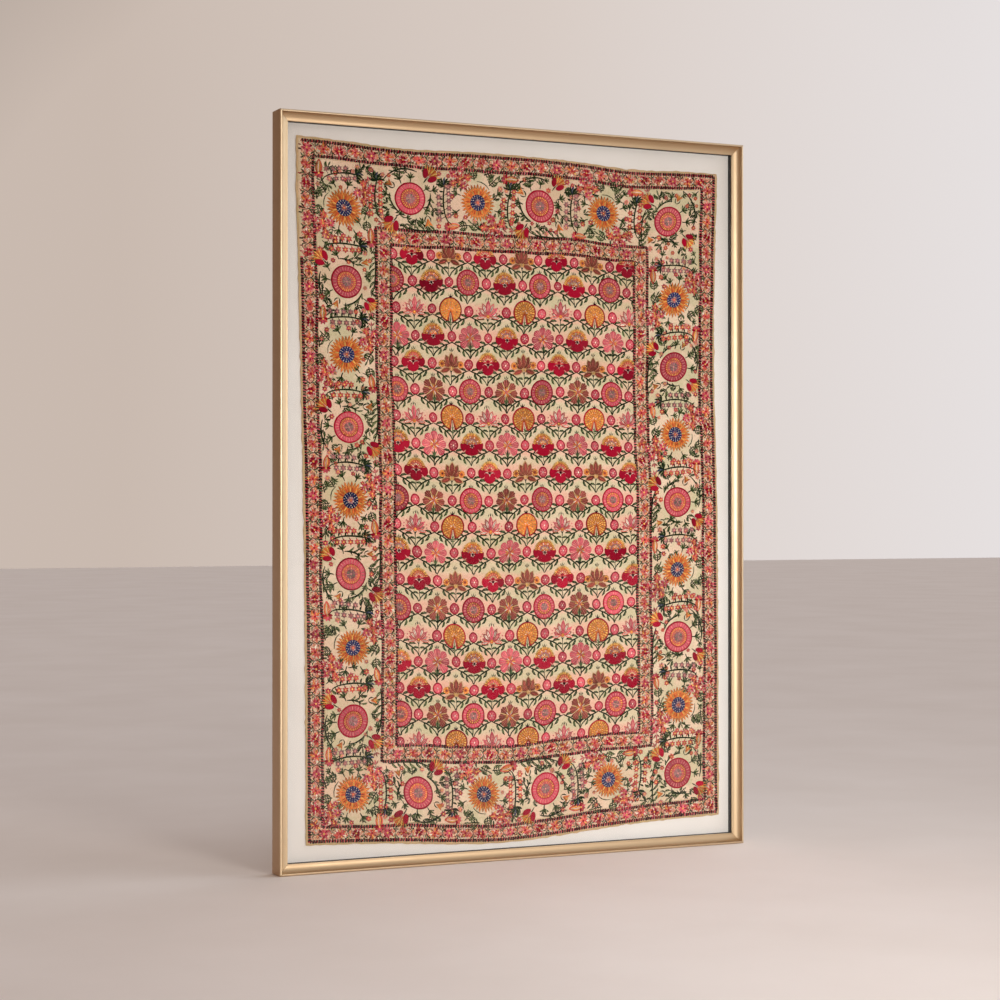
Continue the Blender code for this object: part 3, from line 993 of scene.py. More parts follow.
def threeLobes():
    m = newMotif()
    fan(m, (0, 2.6), 12.8, "vermilion", 0, n=18)
    rays(m, (0, 2.6), 10.0, 14.0, around(4, 176, 15), [0.85, 1.15, 0.55], ["saffron"], 1)
    fan(m, (0, 2.6), 9.5, "rose", 1)
    rays(m, (0, 2.6), 7.0, 9.1, around(8, 172, 14), [0.55, 0.7], ["saffron", "orange"], 2, 2)
    fan(m, (0, 2.6), 6.5, "coral", 2)
    rays(m, (0, 2.6), 3.6, 6.1, around(14, 166, 9), [0.45, 0.65], ["cream", "saffron"], 3, 2)
    for side in (-1, 1):
        layPatch(m, ovalPoints((side * 10.4, -0.6), 7.2, 7.6, 14, turn=side * 18), "crimson", 1)
    lobe = [(9.0, -5.5), (7.8, -10.6), (4.2, -13.6)]
    points = lobe + [(0, -14.8)] + mirrored(lobe) + [(-6.0, 0.2), (0, 2.0), (6.0, 0.2)]
    layPatch(m, points, "crimson", 2, (0, -6))
    for side in (-1, 1):
        leafStroke(m, (side * 12.6, -8.4), (side * 7.6, -5.2), side * 0.08, 0.8, "blush", 4)
        leafStroke(m, (side * 1.6, -1.5), (side * 6.6, 0.4), side * 0.2, 0.75, "cream", 4)
        disc(m, (side * 7.4, -1.0), 1.1, "rose", 4, 6)
    leafStroke(m, (0, 1.6), (0, -4.8), 0, 1.0, "cream", 4)
    disc(m, (0, -0.2), 1.6, "blackPlum", 5, 7, 2.1)
    disc(m, (0, 4.2), 2.3, "crimson", 4, 9, 1.8)
    crown(m, 16.2, "olive")
    layRow(m, [(0, -14.6), (-0.6, -19), (0.2, -23), (0, -28)], 0.6, "bottleGreen")
    return m


def outlineLotus():
    m = newMotif()
    foot = (0, -7.5)
    petals = ((158, 15.5, 3.2), (22, 15.5, 3.2), (137, 18.0, 3.6), (43, 18.0, 3.6),
              (114, 20.6, 3.6), (66, 20.6, 3.6), (90, 23.0, 3.7))
    for step, (angle, reach, half) in enumerate(petals):
        level = 0.6 * (step // 2)
        a, b = np.array(polar(foot, angle, 2.0)), np.array(polar(foot, angle, reach))
        outer, inner = ("dustyRose", "cream") if step % 3 else ("rose", "blush")
        petal(m, a, b, half, outer, level)
        petal(m, a * 0.8 + b * 0.2, a * 0.14 + b * 0.86, half * 0.5, inner, level + 0.3)
        vein = "russet" if step % 2 else "crimson"
        layRow(m, [a * 0.76 + b * 0.24, a * 0.2 + b * 0.8], [0.55, 0.4], vein, level + 1.3)
    for side in (-1, 1):
        petal(m, (side * 2.6, -6.4), (side * 16.4, -8.8), 2.5, "coral", 2.1)
        petal(m, (side * 4.6, -6.7), (side * 15.0, -8.5), 1.4, "cream", 2.4)
        layRow(m, [(side * 6.4, -7.0), (side * 12.4, -8.0)], 0.4, "crimson", 3.4)
        for spot in ((13.4, 4.6), (16.4, 1.0), (16.8, -3.4)):
            disc(m, (side * spot[0], spot[1]), 1.1, "rose" if spot[1] > 0 else "dustyRose", 0, 6)
    disc(m, (0, -6.4), 2.7, "orange", 3, 8)
    disc(m, (0, -6.0), 1.3, "saffron", 4, 6)
    leafStroke(m, (0, 13.6), (0, 19.4), 0, 1.0, "bottleGreen")
    for side in (-1, 1):
        leafStroke(m, (side * 3.8, 13.2), (side * 1.6, 18.4), side * -0.1, 0.7, "blackPlum")
    stalk(m, -9.6)
    return m


def notchedRound(radius, spread, wide, apex):
    ring = [polar((0, 0.6), a, radius) for a in np.linspace(-90 + spread, 270 - spread, 28)]
    return ring + [(-wide, apex), (wide, apex)]


def orangeShell():
    m = newMotif()
    layPatch(m, notchedRound(17.2, 10, 0.7, -3.4), "crimson", 0, (0, 1.6))
    layPatch(m, notchedRound(15.4, 17, 2.3, -2.0), "orange", 1, (0, 1.6))
    rays(m, (0, 0.6), 11.7, 14.8, around(-68, 248, 22), [1.0, 1.25], ["saffron"], 2, 2)
    rays(m, (0, 0.6), 8.2, 10.9, around(-62, 242, 17), [0.9, 1.1], ["saffron", "saffron", "straw"], 2, 2)
    rays(m, (0, 0.6), 4.8, 7.4, around(-52, 232, 11), [0.75, 0.95], ["saffron"], 2, 2)
    rays(m, (0, 0.6), 1.6, 4.0, around(-20, 200, 6), [0.4, 0.8], ["saffron", "cream"], 2, 2)
    disc(m, (0, 17.8), 1.9, "blackPlum", 0, 7)
    crown(m, 17.4, "blackPlum")
    for side in (-1, 1):
        leafStroke(m, (0, -19.0), (side * 2.0, -11.4), side * 0.14, 1.0, "leafGreen", 0)
        leafStroke(m, (0, -20.5), (side * 4.2, -17.4), side * 0.1, 0.9, "bottleGreen", 0)
    layRow(m, [(0, -4.4), (0, -12), (0.3, -20), (0, -28)], [0.3, 0.5, 0.7, 0.6], "leafGreen", 1)
    return m


def carnation(petalThread, veinThread, underThread, petals, gap, serrated):
    m = newMotif()
    disc(m, (0, 0), 13.6, underThread, 0, 18)
    for i, angle in enumerate(petals):
        shape = [polar((0, 0), angle - gap * 0.8, 4.4)]
        teeth = 7
        for k in range(teeth):
            a = angle - gap + 2 * gap * k / (teeth - 1)
            bulge = 17.2 - 0.0055 * (a - angle) ** 2 - (1.4 if serrated and k % 2 else 0.0)
            if abs(angle - 90) > 100:
                bulge += 1.0
            shape.append(polar((0, 0), a, bulge))
        shape.append(polar((0, 0), angle + gap * 0.8, 4.4))
        layPatch(m, shape, petalThread, 1, polar((0, 0), angle, 10.6))
        for off in (-0.55, 0.0, 0.55):
            rays(m, (0, 0), 7.4, 15.2 + (0.8 if off == 0 else 0), [angle + off * gap], [0.35, 0.7],
                 [veinThread], 2, 2)
    disc(m, (0, 0), 5.0, "coral", 2, 10)
    rays(m, (0, 0), 2.2, 7.2, around(0, 360, 13), [0.55, 0.7, 0.35], ["saffron", "cream", "orange"], 3)
    disc(m, (0, 0), 2.0, "dustyRose", 4, 7)
    for side in (-1, 1):
        leafStroke(m, (0, -19.5), (side * 3.6, -9.4), side * 0.12, 1.3, "leafGreen", 2)
        leafStroke(m, (0, -20.5), (side * 5.4, -15.6), side * 0.14, 1.0, "bottleGreen", 2)
    leafStroke(m, (0, -18.0), (0, -6.0), 0, 1.2, "bottleGreen", 3, "leafGreen")
    layRow(m, [(0, -16), (0.3, -22), (0, -28)], [0.7, 0.6], "bottleGreen", 3)
    crown(m, 17.0)
    return m


def brownLotus():
    m = newMotif()
    for step, (angle, reach) in enumerate(((141, 17.0), (39, 17.0), (116, 20.4), (64, 20.4), (90, 22.6))):
        a, b = np.array(polar((0, -6.5), angle, 2.0)), np.array(polar((0, -6.5), angle, reach))
        level = 0.6 * (step // 2)
        petal(m, a, b, 4.9, "straw", level)
        petal(m, a, a * 0.07 + b * 0.93, 4.2, "russet", level + 0.2)
        across = np.array([-(b - a)[1], (b - a)[0]]) / np.linalg.norm(b - a)
        for off in (-1.5, 0, 1.5):
            line = [a * 0.66 + b * 0.34 + across * off, a * 0.24 + b * 0.76 + across * off * 0.5]
            layRow(m, line, [0.35, 0.25], "dustyRose" if off else "coral", level + 1.2)
    for side in (-1, 1):
        petal(m, (side * 0.6, -6.4), (side * 17.0, -12.0), 4.3, "straw", 2.0)
        petal(m, (side * 1.0, -6.6), (side * 16.0, -11.8), 3.6, "russet", 2.2)
        layRow(m, [(side * 6.0, -8.8), (side * 12.8, -11.3)], [0.7, 0.4], "coral", 3.2)
        disc(m, (side * 14.0, -1.0), 5.2, "orange", 0, 12)
        for a in around(0, 360, 9):
            disc(m, polar((side * 14.0, -1.0), a, 3.7), 1.0, "saffron", 1, 5)
        disc(m, (side * 14.0, -1.0), 1.9, "russet", 1, 7)
    for x in (-1.6, 0, 1.6):
        leafStroke(m, (x, -9.4), (x * 1.7, -3.4), 0, 0.8, "saffron", 4)
    crown(m, 16.6)
    stalk(m, -9.6)
    return m


def pinkBud():
    m = newMotif()
    disc(m, (0, 0), 7.1, "crimson", 0, 14, 7.8, 1.85)
    disc(m, (0, 0), 5.6, "rose", 1, 12, 6.2, 1.85)
    for a in around(0, 360, 6):
        spoke(m, (0, 0), a + 20, 1.8, 4.8, 0, 0.9, "blush", 2)
    disc(m, (0, 0), 1.1, "cream", 2, 6, 1.6)
    return m


def vineFork():
    m = newMotif()
    for side in (-1, 1):
        path = smoothLine([(0, -7.4), (side * 4.6, -9.6), (side * 12, -12.4), (side * 19, -17.4),
                           (side * 25, -22.8), (side * 27.3, -28.2)], 7)
        layRow(m, path, [0.6, 0.85, 1.0, 1.0, 0.9, 0.8, 0.6], "bottleGreen", 1)
        for a, b, bow, wide, dark in (((3.6, -8.8), (14.4, -6.2), 0.12, 2.4, "bottleGreen"),
                                      ((11.6, -12.0), (22.8, -11.0), 0.14, 2.5, "bottleGreen"),
                                      ((18.4, -16.8), (27.0, -17.4), 0.14, 2.1, "bottleGreen"),
                                      ((8.0, -10.6), (13.4, -20.2), -0.14, 2.5, "bottleGreen"),
                                      ((16.6, -16.0), (20.2, -25.8), -0.14, 2.3, "olive")):
            leafStroke(m, (side * a[0], a[1]), (side * b[0], b[1]), side * bow, wide, dark, 0, "leafGreen")
    return m


print("field motifs drawn")


# a piece gathers stamped motifs; its region keeps them inside the lines
def newPiece():
    piece = {key: [] for key in ("points", "height", "stitch", "faces", "thread", "level", "under", "tone")}
    return piece | {"count": 0}


def close(motif):
    for key in ("points", "height", "stitch", "faces", "thread", "level", "under", "part"):
        if isinstance(motif[key], list):
            motif[key] = np.concatenate(motif[key])
    return motif


def stamp(piece, motif, x, z, turn=0.0, size=1.0, flip=False, stretch=1.0, region=None):
    motif = close(motif)
    points = motif["points"] * (size, size * stretch)
    # each one is worked by hand, so none is quite like the last
    points = points + dice.normal(0, 0.10, points.shape)
    if flip:
        points = points * (-1, 1)
    a = math.radians(turn)
    points = points @ np.array([[math.cos(a), math.sin(a)], [-math.sin(a), math.cos(a)]]) + (x, z)
    faces = motif["faces"]
    if flip:
        faces = faces[:, ::-1]
    keepFaces = np.ones(len(faces), bool)
    if region is not None:
        lowX, highX, lowZ, highZ = region
        outside = (points < (lowX, lowZ)).any(1) | (points > (highX, highZ)).any(1)
        keepFaces = ~np.where(faces >= 0, outside[faces], True).all(1)
        if not keepFaces.any():
            return
        points = np.clip(points, (lowX, lowZ), (highX, highZ))
    tones = np.clip(dice.normal(0.48, 0.21, motif["parts"]) + dice.normal(0, 0.08), 0, 1)
    piece["points"].append(points)
    piece["height"].append(motif["height"])
    piece["stitch"].append(motif["stitch"] + dice.uniform(0, 40, 2))
    piece["faces"].append(np.where(faces >= 0, faces + piece["count"], -1)[keepFaces])
    piece["thread"].append(motif["thread"][keepFaces])
    piece["level"].append(motif["level"][keepFaces])
    piece["under"].append(motif["under"][keepFaces])
    piece["tone"].append(tones[motif["part"]])
    piece["count"] += len(points)


# metres from the frame's origin to the baking map's corner, its span and its margin
bakeFit = (0.3215, 0.974, 0.965, 0.004)


def sewOn(piece, name, rise=0.0):
    data = {key: np.concatenate(piece[key]) for key in piece if key != "count"}
    order = np.argsort(data["level"], kind="stable")
    faces, thread, under = data["faces"][order], data["thread"][order], data["under"][order]
    used, back = np.unique(faces[faces >= 0], return_inverse=True)
    filled = faces.copy()
    filled[faces >= 0] = back
    rugX, rugZ = data["points"][used, 0], data["points"][used, 1]
    # lines drawn by hand wander a little
    fromEdge = np.minimum(rugHalf - 6 - np.abs(rugX), np.minimum(-rugZ - 5, rugTall - 5 + rugZ))
    calm = np.clip(fromEdge / 20, 0.3, 1)
    driftX = 0.9 * np.sin(rugZ / 41 + 0.8 * np.sin(rugX / 90)) + 0.5 * np.sin(rugZ / 17 + rugX / 60)
    driftZ = 0.9 * np.sin(rugX / 37 + 0.9 * np.sin(rugZ / 110)) + 0.5 * np.sin(rugX / 15 - rugZ / 70)
    x, z = toFrame(rugX + driftX * calm, rugZ + driftZ * calm)
    y = clothShape["front"] - rippleAt(x, z) - (data["height"][used] + rise) / 1000
    mask = filled >= 0
    corner = filled[mask]
    sizes = mask.sum(1)
    mesh = bpy.data.meshes.new(name)
    mesh.vertices.add(len(used))
    mesh.vertices.foreach_set("co", np.stack([x, y, z], 1).ravel())
    mesh.loops.add(len(corner))
    mesh.loops.foreach_set("vertex_index", corner.astype(np.int32))
    mesh.polygons.add(len(filled))
    mesh.polygons.foreach_set("loop_start", np.concatenate([[0], np.cumsum(sizes)[:-1]]).astype(np.int32))
    kinds, slotOf = np.unique(thread, return_inverse=True)
    for kind in kinds:
        mesh.materials.append(threads[threadNames[kind]])
    mesh.polygons.foreach_set("material_index", slotOf.astype(np.int32))
    mesh.polygons.foreach_set("use_smooth", np.ones(len(filled), bool))
    mesh.update(calc_edges=True)
    # a baking map: fronts as seen, hidden undersides set apart
    left, bottom, span, margin = bakeFit
    bakeU, bakeV = (x[corner] + left) / span + margin, (z[corner] + bottom) / span + margin
    hidden = np.repeat(under, sizes)
    bakeU = np.where(hidden, 0.69 + 0.3 * bakeU, bakeU)
    bakeV = np.where(hidden, 0.3 * bakeV, bakeV)
    bake = mesh.uv_layers.new(name="OFBake")
    bake.data.foreach_set("uv", np.stack([bakeU, bakeV], 1).ravel())
    stitch = mesh.uv_layers.new(name="stitch")
    stitch.data.foreach_set("uv", data["stitch"][used][corner].ravel())
    tone = mesh.attributes.new("tone", "FLOAT", "POINT")
    tone.data.foreach_set("value", data["tone"][used].astype(np.float32))
    mesh.validate()
    sewn = bpy.data.objects.new(name, mesh)
    bpy.context.collection.objects.link(sewn)
    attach(sewn, "root")
    print(name, "sewn on,", int((sizes - 2).sum()), "triangles")


# the field: staggered rows of flowers with a bud between, joined by a forked vine

field = {
    "rows": 19, "firstRow": -141.4, "rowPitch": 36.05, "columnPitch": 54.65,
    "oddStart": -150.5, "evenStart": -179.0, "edgeX": 184.6, "top": -131.5, "bottom": -800.5,
    # how far each hand-drawn row strays, down and to the right
    "drop": [0, -1.4, 0, 0, 0.3, 0.5, 0.9, 0.8, 1.8, 3.8, 2.8, 2.4, 4.2, 5.2, 6.4, 5.4, 5.2, 5.2, 5.0],
    "shift": [-4.4, -2.8, -1.0, 1.2, -2.1, 0.5, -3.4, -1.7, -3.9, -4.1, -3.5, -0.4, -1.0, -1.9, -2.9, -2.6,
              -2.4, -1.7, -2.0],
    "kinds": {0: ("threeLobes", "brownLotus"), 1: ("pinkRoundel", "crimsonFan"),
              2: ("outlineLotus", "orangeShell"), 3: ("pinkCarnation", "crimsonFan"),
              5: ("pinkRoundel", "brownCarnation"), 7: ("crimsonFan", "pinkCarnation")},
}
fieldMotifs = {
    "threeLobes": threeLobes(), "brownLotus": brownLotus(), "pinkRoundel": pinkRoundel(),
    "crimsonFan": crimsonFan(), "outlineLotus": outlineLotus(), "orangeShell": orangeShell(),
    "pinkCarnation": carnation("rose", "blush", "blush", [90, 46, 134, 2, 178, -42, 222], 19.6, False),
    "brownCarnation": carnation("russet", "dustyRose", "straw", [90, 40, 140, -10, 190, -58, 238], 22, True),
}
fieldFlowers, fieldVines = newPiece(), newPiece()
budMotif, forkMotif = pinkBud(), vineFork()
fieldRegion = (-field["edgeX"], field["edgeX"], field["bottom"], field["top"])


# rows past the listed ones repeat them four by four
def rowKinds(row):
    return field["kinds"].get(row, field["kinds"][(0, 5, 2, 7)[row % 4]])


for row in range(-1, field["rows"] + 1):
    nearRow = min(max(row, 0), field["rows"] - 1)
    z = field["firstRow"] - row * field["rowPitch"] - field["drop"][nearRow]
    start = (field["oddStart"] if row % 2 == 0 else field["evenStart"]) + field["shift"][nearRow]
    kinds = rowKinds(max(row, 0))
    for column in range(-1, 8):
        x = start + column * field["columnPitch"]
        nudge = dice.normal(0, 0.7, 2)
        between = x + field["columnPitch"] / 2
        if 0 <= row < field["rows"]:
            stamp(fieldFlowers, fieldMotifs[kinds[column % 2]], x + nudge[0], z + nudge[1],
                  turn=dice.normal(0, 1.6), size=dice.normal(1.0, 0.02), flip=bool(dice.integers(2)),
                  region=fieldRegion)
            stamp(fieldFlowers, budMotif, between + dice.normal(0, 0.5), z + dice.normal(0, 0.5),
                  turn=dice.normal(0, 6), size=dice.normal(1.0, 0.04), stretch=dice.normal(1.0, 0.03),
                  region=fieldRegion)
        stamp(fieldVines, forkMotif, between, z, turn=dice.normal(0, 0.8),
              flip=bool(dice.integers(2)), region=fieldRegion)
sewOn(fieldVines, "fieldVines")
sewOn(fieldFlowers, "fieldFlowers", 0.05)


# the border's big flowers and what grows between them

def borderRoundel():
    m = newMotif()
    layWheel(m, 21.8, 1.03, 34)
    return m


def sunflower():
    m = newMotif()
    disc(m, (0, 0), 19.6, "orange", 0, 24)
    for i, a in enumerate(around(0, 360, 30)):
        tip, base = polar((0, 0), a, 24.4 + 1.0 * (i % 2)), polar((0, 0), a, 13.0)
        leafStroke(m, base, tip, 0, 2.0, "orange", 0.5)
        spoke(m, (0, 0), a, 16.4, 22.4, 0, 0.6, "saffron", 1.5)
    for i, a in enumerate(around(6.4, 366.4, 30)):
        spoke(m, (0, 0), a, 10.6, 17.4, 0, 1.05, ("vermilion", "saffron", "orange")[i % 3], 1.5)
    disc(m, (0, 0), 11.2, "navy", 1.5, 22)
    rays(m, (0, 0), 8.4, 10.4, around(0, 360, 16), [0.4, 0.5], ["cream"], 2.5, 2)
    rays(m, (0, 0), 5.9, 7.5, around(11, 371, 12), [0.45, 0.55], ["cream", "mauve"], 2.5, 2)
    disc(m, (0, 0), 5.0, "mauve", 2.5, 12)
    rays(m, (0, 0), 2.6, 4.8, around(12, 372, 9), [0.4, 0.5], ["cream", "navy", "blush"], 3.5, 2)
    disc(m, (0, 0), 2.4, "coral", 3.5, 9)
    disc(m, (0, 0), 1.0, "saffron", 4.5, 6)
    return m


def halfCarnation():
    m = newMotif()
    disc(m, (0, 8.6), 8.6, "orange", 0, 16, 7.6)
    for i, a in enumerate(around(28, 152, 9)):
        spoke(m, (0, 3), a, 4.0, 15.6, 0, 1.15, "orange" if i % 2 else "saffron", 1)
    for side in (-1, 1):
        layPatch(m, ovalPoints((side * 5.8, 4.0), 3.7, 6.6, 12, turn=side * -32), "crimson", 3)
    leafStroke(m, (0, 1.0), (0, 9.0), 0, 0.8, "blush", 4)
    disc(m, (0, 2.6), 1.4, "cream", 4, 7)
    disc(m, (0, 2.6), 0.7, "blackPlum", 5, 5)
    leafStroke(m, (0, -7), (0, 2), 0.05, 0.8, "bottleGreen", 1)
    return m


# a striped pod over a few coral petals
def lily():
    m = newMotif()
    side = [(2.4, 0.4), (4.9, 4.6), (5.3, 9.4), (4.0, 14.4), (1.0, 19.6)]
    layPatch(m, side + mirrored(side), "coral", 0, (0, 9))
    for off, tint in ((-3.1, "saffron"), (-1.05, "cream"), (1.05, "saffron"), (3.1, "orange")):
        layRow(m, [(off * 0.5, 2.4), (off, 8.6), (off * 0.35, 16.4)], [0.5, 0.8, 0.4], tint, 1)
    for a, tint in ((-70, "rose"), (-30, "coral"), (6, "crimson"),
                    (174, "crimson"), (210, "coral"), (250, "rose")):
        spoke(m, (0, 0.6), a, 0.6, 7.4, 0.06, 1.9, tint, 2)
    disc(m, (0, 0.6), 1.5, "saffron", 3, 7)
    return m


def tulipBud():
    m = newMotif()
    for a, bow, tint in ((62, 0.14, "orange"), (118, -0.14, "orange"), (90, 0, "saffron")):
        spoke(m, (0, 0), a, 0.5, 10.5, bow, 1.6, tint, 1)
    layRow(m, [(0, 2), (0, 8.6)], [0.3, 0.2], "russet", 3)
    for side in (-1, 1):
        leafStroke(m, (0, -3.4), (side * 3.6, 4.2), side * -0.2, 0.8, "bottleGreen", 2)
    return m


def blossom(first, second, size):
    m = newMotif()
    disc(m, (0, 0), 4.2 * size, second, 0, 9)
    for a in around(0, 360, 6):
        spoke(m, (0, 0), a, 1.2 * size, 5.9 * size, 0, 1.75 * size, first, 1)
    disc(m, (0, 0), 1.7 * size, "saffron", 2, 7)
    return m


def bloom(base, strokes, heart, size=1.0, centre=(0, 0), motif=None):
    m = newMotif() if motif is None else motif
    disc(m, centre, 6.0 * size, base, 0, 10)
    # ragged strokes rather than petals
    for i, a in enumerate(around(0, 360, 13)):
        k = i % 4
        leafStroke(m, polar(centre, a + (7, -5, 3, -8)[k], (3.4, 1.8, 4.2, 2.4)[k] * size),
                   polar(centre, a, (9.2, 6.4, 8.2, 5.4)[k] * size), (0.2, -0.15, 0.1, -0.25)[k],
                   (1.6, 1.1, 1.4, 0.9)[k] * size, strokes[i % len(strokes)], 1 + 0.5 * (i % 2))
    disc(m, centre, 1.5 * size, heart, 2.5, 6)
    return m


def blossomCluster():
    m = newMotif()
    layRow(m, curve((-2, -15), (1, 8), 0.1, 5), 0.8, "bottleGreen", 0)
    pink = ("rose", "crimson", "blush", "coral", "cream")
    warm = ("coral", "blush", "maroon", "coral", "saffron")
    for x, z, size, base, strokes in ((0, 1, 1.05, "coral", warm), (10.4, 4.4, 0.9, "rose", pink),
                                      (-10.6, 3.4, 0.95, "rose", pink), (1.6, 13.0, 0.8, "coral", warm),
                                      (8.6, -8.0, 0.8, "rose", pink), (-5.8, -9.4, 0.85, "coral", warm)):
        bloom(base, strokes, "saffron", size, (x, z), m)
    for a, b in (((-3, -12), (-9, -17)), ((-1, -13), (6, -17)), ((4, 13), (10, 18)), ((-8, 9), (-14, 12)),
                 ((13, -1), (18, -4)), ((-3, 14), (-7, 18))):
        leafStroke(m, a, b, 0.15, 1.7, "bottleGreen", 0, "leafGreen")
    return m


def threePetals():
    m = newMotif()
    for a, tint in ((48, "dustyRose"), (90, "rose"), (132, "dustyRose")):
        spoke(m, (0, 0), a, 1.0, 7.4, 0, 1.25, tint, 1)
    leafStroke(m, (0, -7.5), (0, 1), 0.08, 0.7, "blackPlum", 0)
    for side in (-1, 1):
        leafStroke(m, (0, -5.5), (side * 4.4, -1.4), side * -0.15, 0.8, "bottleGreen", 0)
    return m


def leafSprig(pairs, reach):
    m = newMotif()
    layRow(m, [(0, -1.5), (0.5, reach * 0.5), (0, reach)], [0.9, 0.85, 0.5], "bottleGreen", 1)
    for i in range(pairs):
        z = reach * (0.05 + 0.85 * i / pairs)
        long = 10.6 - 3.4 * i / pairs
        for side in (-1, 1):
            leafStroke(m, (side * 0.3, z), (side * long * 0.7, z + long * 0.8), side * -0.16, 2.0,
                       "bottleGreen" if (i + side) % 3 else "olive", 0,
                       "sage" if i % 2 == 0 or pairs > 2 else None)
    leafStroke(m, (0, reach - 1), (0, reach + 7), 0, 1.7, "bottleGreen", 0, "sage")
    return m


# a fan of leaves from one foot
def palm(leaves, long):
    m = newMotif()
    for i, a in enumerate(np.linspace(30, 150, leaves)):
        reach = long * (1 - 0.2 * abs(a - 90) / 60)
        spoke(m, (0, 0), a, 0.8, reach, 0.1 if a < 90 else -0.1, 1.9,
              "bottleGreen" if i % 3 else "olive", 0, "sage" if i % 2 == 0 else None)
    layRow(m, [(0, -6), (0.4, -2), (0, 1)], [0.6, 0.9, 0.9], "bottleGreen", 1)
    return m


# a long stem by the border's inner line, its leaves leaning down and away from the line
def bough():
    m = newMotif()
    stem = smoothLine([(-1, 31), (1.2, 16), (0.6, 0), (-1.0, -16), (-6, -28)], 8)
    layRow(m, stem, [0.5, 1.0, 1.15, 1.1, 0.5], "bottleGreen", 1)
    for i, (z, long) in enumerate(((27, 11), (19, 13.5), (11, 15), (2, 15), (-7, 13), (-15, 11))):
        leafStroke(m, (0.4, z), (-0.6 * long, z - 0.8 * long), -0.1, 2.2,
                   "bottleGreen" if i % 3 else "olive", 0, "sage")
        leafStroke(m, (0.6, z - 4), (0.34 * long, z + 0.1 * long), 0.1, 1.6, "bottleGreen", 0)
    return m


def bareStem(line):
    m = newMotif()
    layRow(m, smoothLine(line, 7), [0.6, 1.1, 1.2, 1.1, 0.6], "bottleGreen", 0)
    return m


# part of a wreath round a big flower: its stem, with small leaves outwards
def wreathArc(inner, outer, start, end, leaves):
    m = newMotif()
    angles = np.linspace(start, end, 9)
    arc = [polar((0, 0), a, r) for a, r in zip(angles, np.linspace(inner, outer, 9))]
    layRow(m, arc, [0.5, 0.9, 1.1, 1.2, 1.2, 1.1, 1.0, 0.8, 0.4], "bottleGreen", 1)
    for i in range(leaves):
        t = 0.5 + 7.5 * i / leaves
        foot = arc[int(t)]
        a = angles[int(t)]
        leafStroke(m, foot, polar((0, 0), a - 13, math.hypot(*foot) + 6.4), -0.12, 1.9,
                   "bottleGreen" if i % 3 else "olive", 0, "sage")
        if i % 2 and inner > 26:
            leafStroke(m, foot, polar((0, 0), a - 12, math.hypot(*foot) - 5.2), 0.12, 1.2, "bottleGreen", 0)
    return m


def flowerSpray(flower, second, heart):
    m = newMotif()
    stem = smoothLine([(-34, -9), (-28, -1.5), (-12, 1.6), (4, 1.8), (22, -1.0)], 9)
    layRow(m, stem, [0.5, 0.9, 1.1, 1.1, 0.9], "bottleGreen", 2)
    for x in (-23, -13, -3, 7, 16):
        for side in (-1, 1):
            if side > 0 and x > 12:
                continue
            spot = (x + (2 if side < 0 else -2), 1.0 + side * 7.4)
            layRow(m, [(x, 1), (spot[0] - 0.5, spot[1] - side * 2.0)], 0.5, "blackPlum", 0)
            disc(m, spot, 3.4, second, 0, 8)
            for a in around(0, 360, 6):
                spoke(m, spot, a, 0.9, 4.9, 0.05, 1.3, flower, 1)
            disc(m, spot, 1.5, heart, 2, 6)
    for i, a in enumerate((-88, -60, -34, -8, 18, 44, 74)):
        leafStroke(m, (20.5, -0.8), polar((20.5, -0.8), a, 12.0), 0.12, 1.8,
                   "bottleGreen" if i != 3 else "navy", 1, "sage" if i % 2 else None)
    for x, z in ((-18, 1), (-8, 1.6), (2, 1.8), (12, 1)):
        leafStroke(m, (x, z), (x + 2.0, z + 6.2), 0.1, 1.3, "bottleGreen", 1)
    return m


borderParts = {
    "roundel": borderRoundel(), "sunflower": sunflower(), "halfCarnation": halfCarnation(), "lily": lily(),
    "tulip": tulipBud(), "cluster": blossomCluster(), "threePetals": threePetals(),
    "sprig": leafSprig(3, 13), "smallSprig": leafSprig(2, 6), "palm": palm(5, 11.5), "bough": bough(),
    "arc": wreathArc(37.5, 45, 166, 243, 0), "innerArc": wreathArc(25.2, 31, -32, -100, 5),
    "topArc": wreathArc(26.5, 30, 62, 108, 4),
    "shortStem": bareStem([(-13, -2), (-4, 1.4), (5, 1.2), (13, -2.5)]),
    "mauveSpray": flowerSpray("mauve", "dustyRose", "blush"),
    "pinkSpray": flowerSpray("coral", "rose", "saffron"),
    "blossom": blossom("coral", "rose", 0.9), "blushBlossom": blossom("blush", "coral", 0.85),
    "redBlossom": blossom("rose", "crimson", 0.85),
}

# across the border (towards the field), along it, turn in degrees and size
roundelGarden = [
    ("halfCarnation", 28, -24, -128, 1.05), ("halfCarnation", -28, 23, 52, 1.05),
    ("tulip", 23, 27, -80, 1.05), ("tulip", -14, -26, 150, 1.0),
    ("arc", 0, 0, 0, 1.0), ("innerArc", 0, 0, 0, 1.0), ("topArc", 0, 0, 0, 1.0),
    ("sprig", -34, -14, 176, 0.9), ("sprig", -38, 18, 20, 0.85), ("smallSprig", 27, 8, -95, 0.9),
    ("bough", 41, 10, 0, 1.0), ("palm", -28, 1, 84, 0.9), ("palm", -23, -15, 118, 0.9),
    ("palm", -12, 31, 24, 0.85), ("palm", -3, -33, 170, 0.9), ("smallSprig", 15, -32, 200, 1.0),
    ("smallSprig", 12, 33, -50, 0.9), ("threePetals", 35, -40, -160, 1.0), ("smallSprig", -36, -6, 150, 0.8),
    ("redBlossom", -36, 40, 0, 0.9), ("blushBlossom", 27, 40, 0, 0.9), ("smallSprig", -22, 38, 20, 0.9),
]
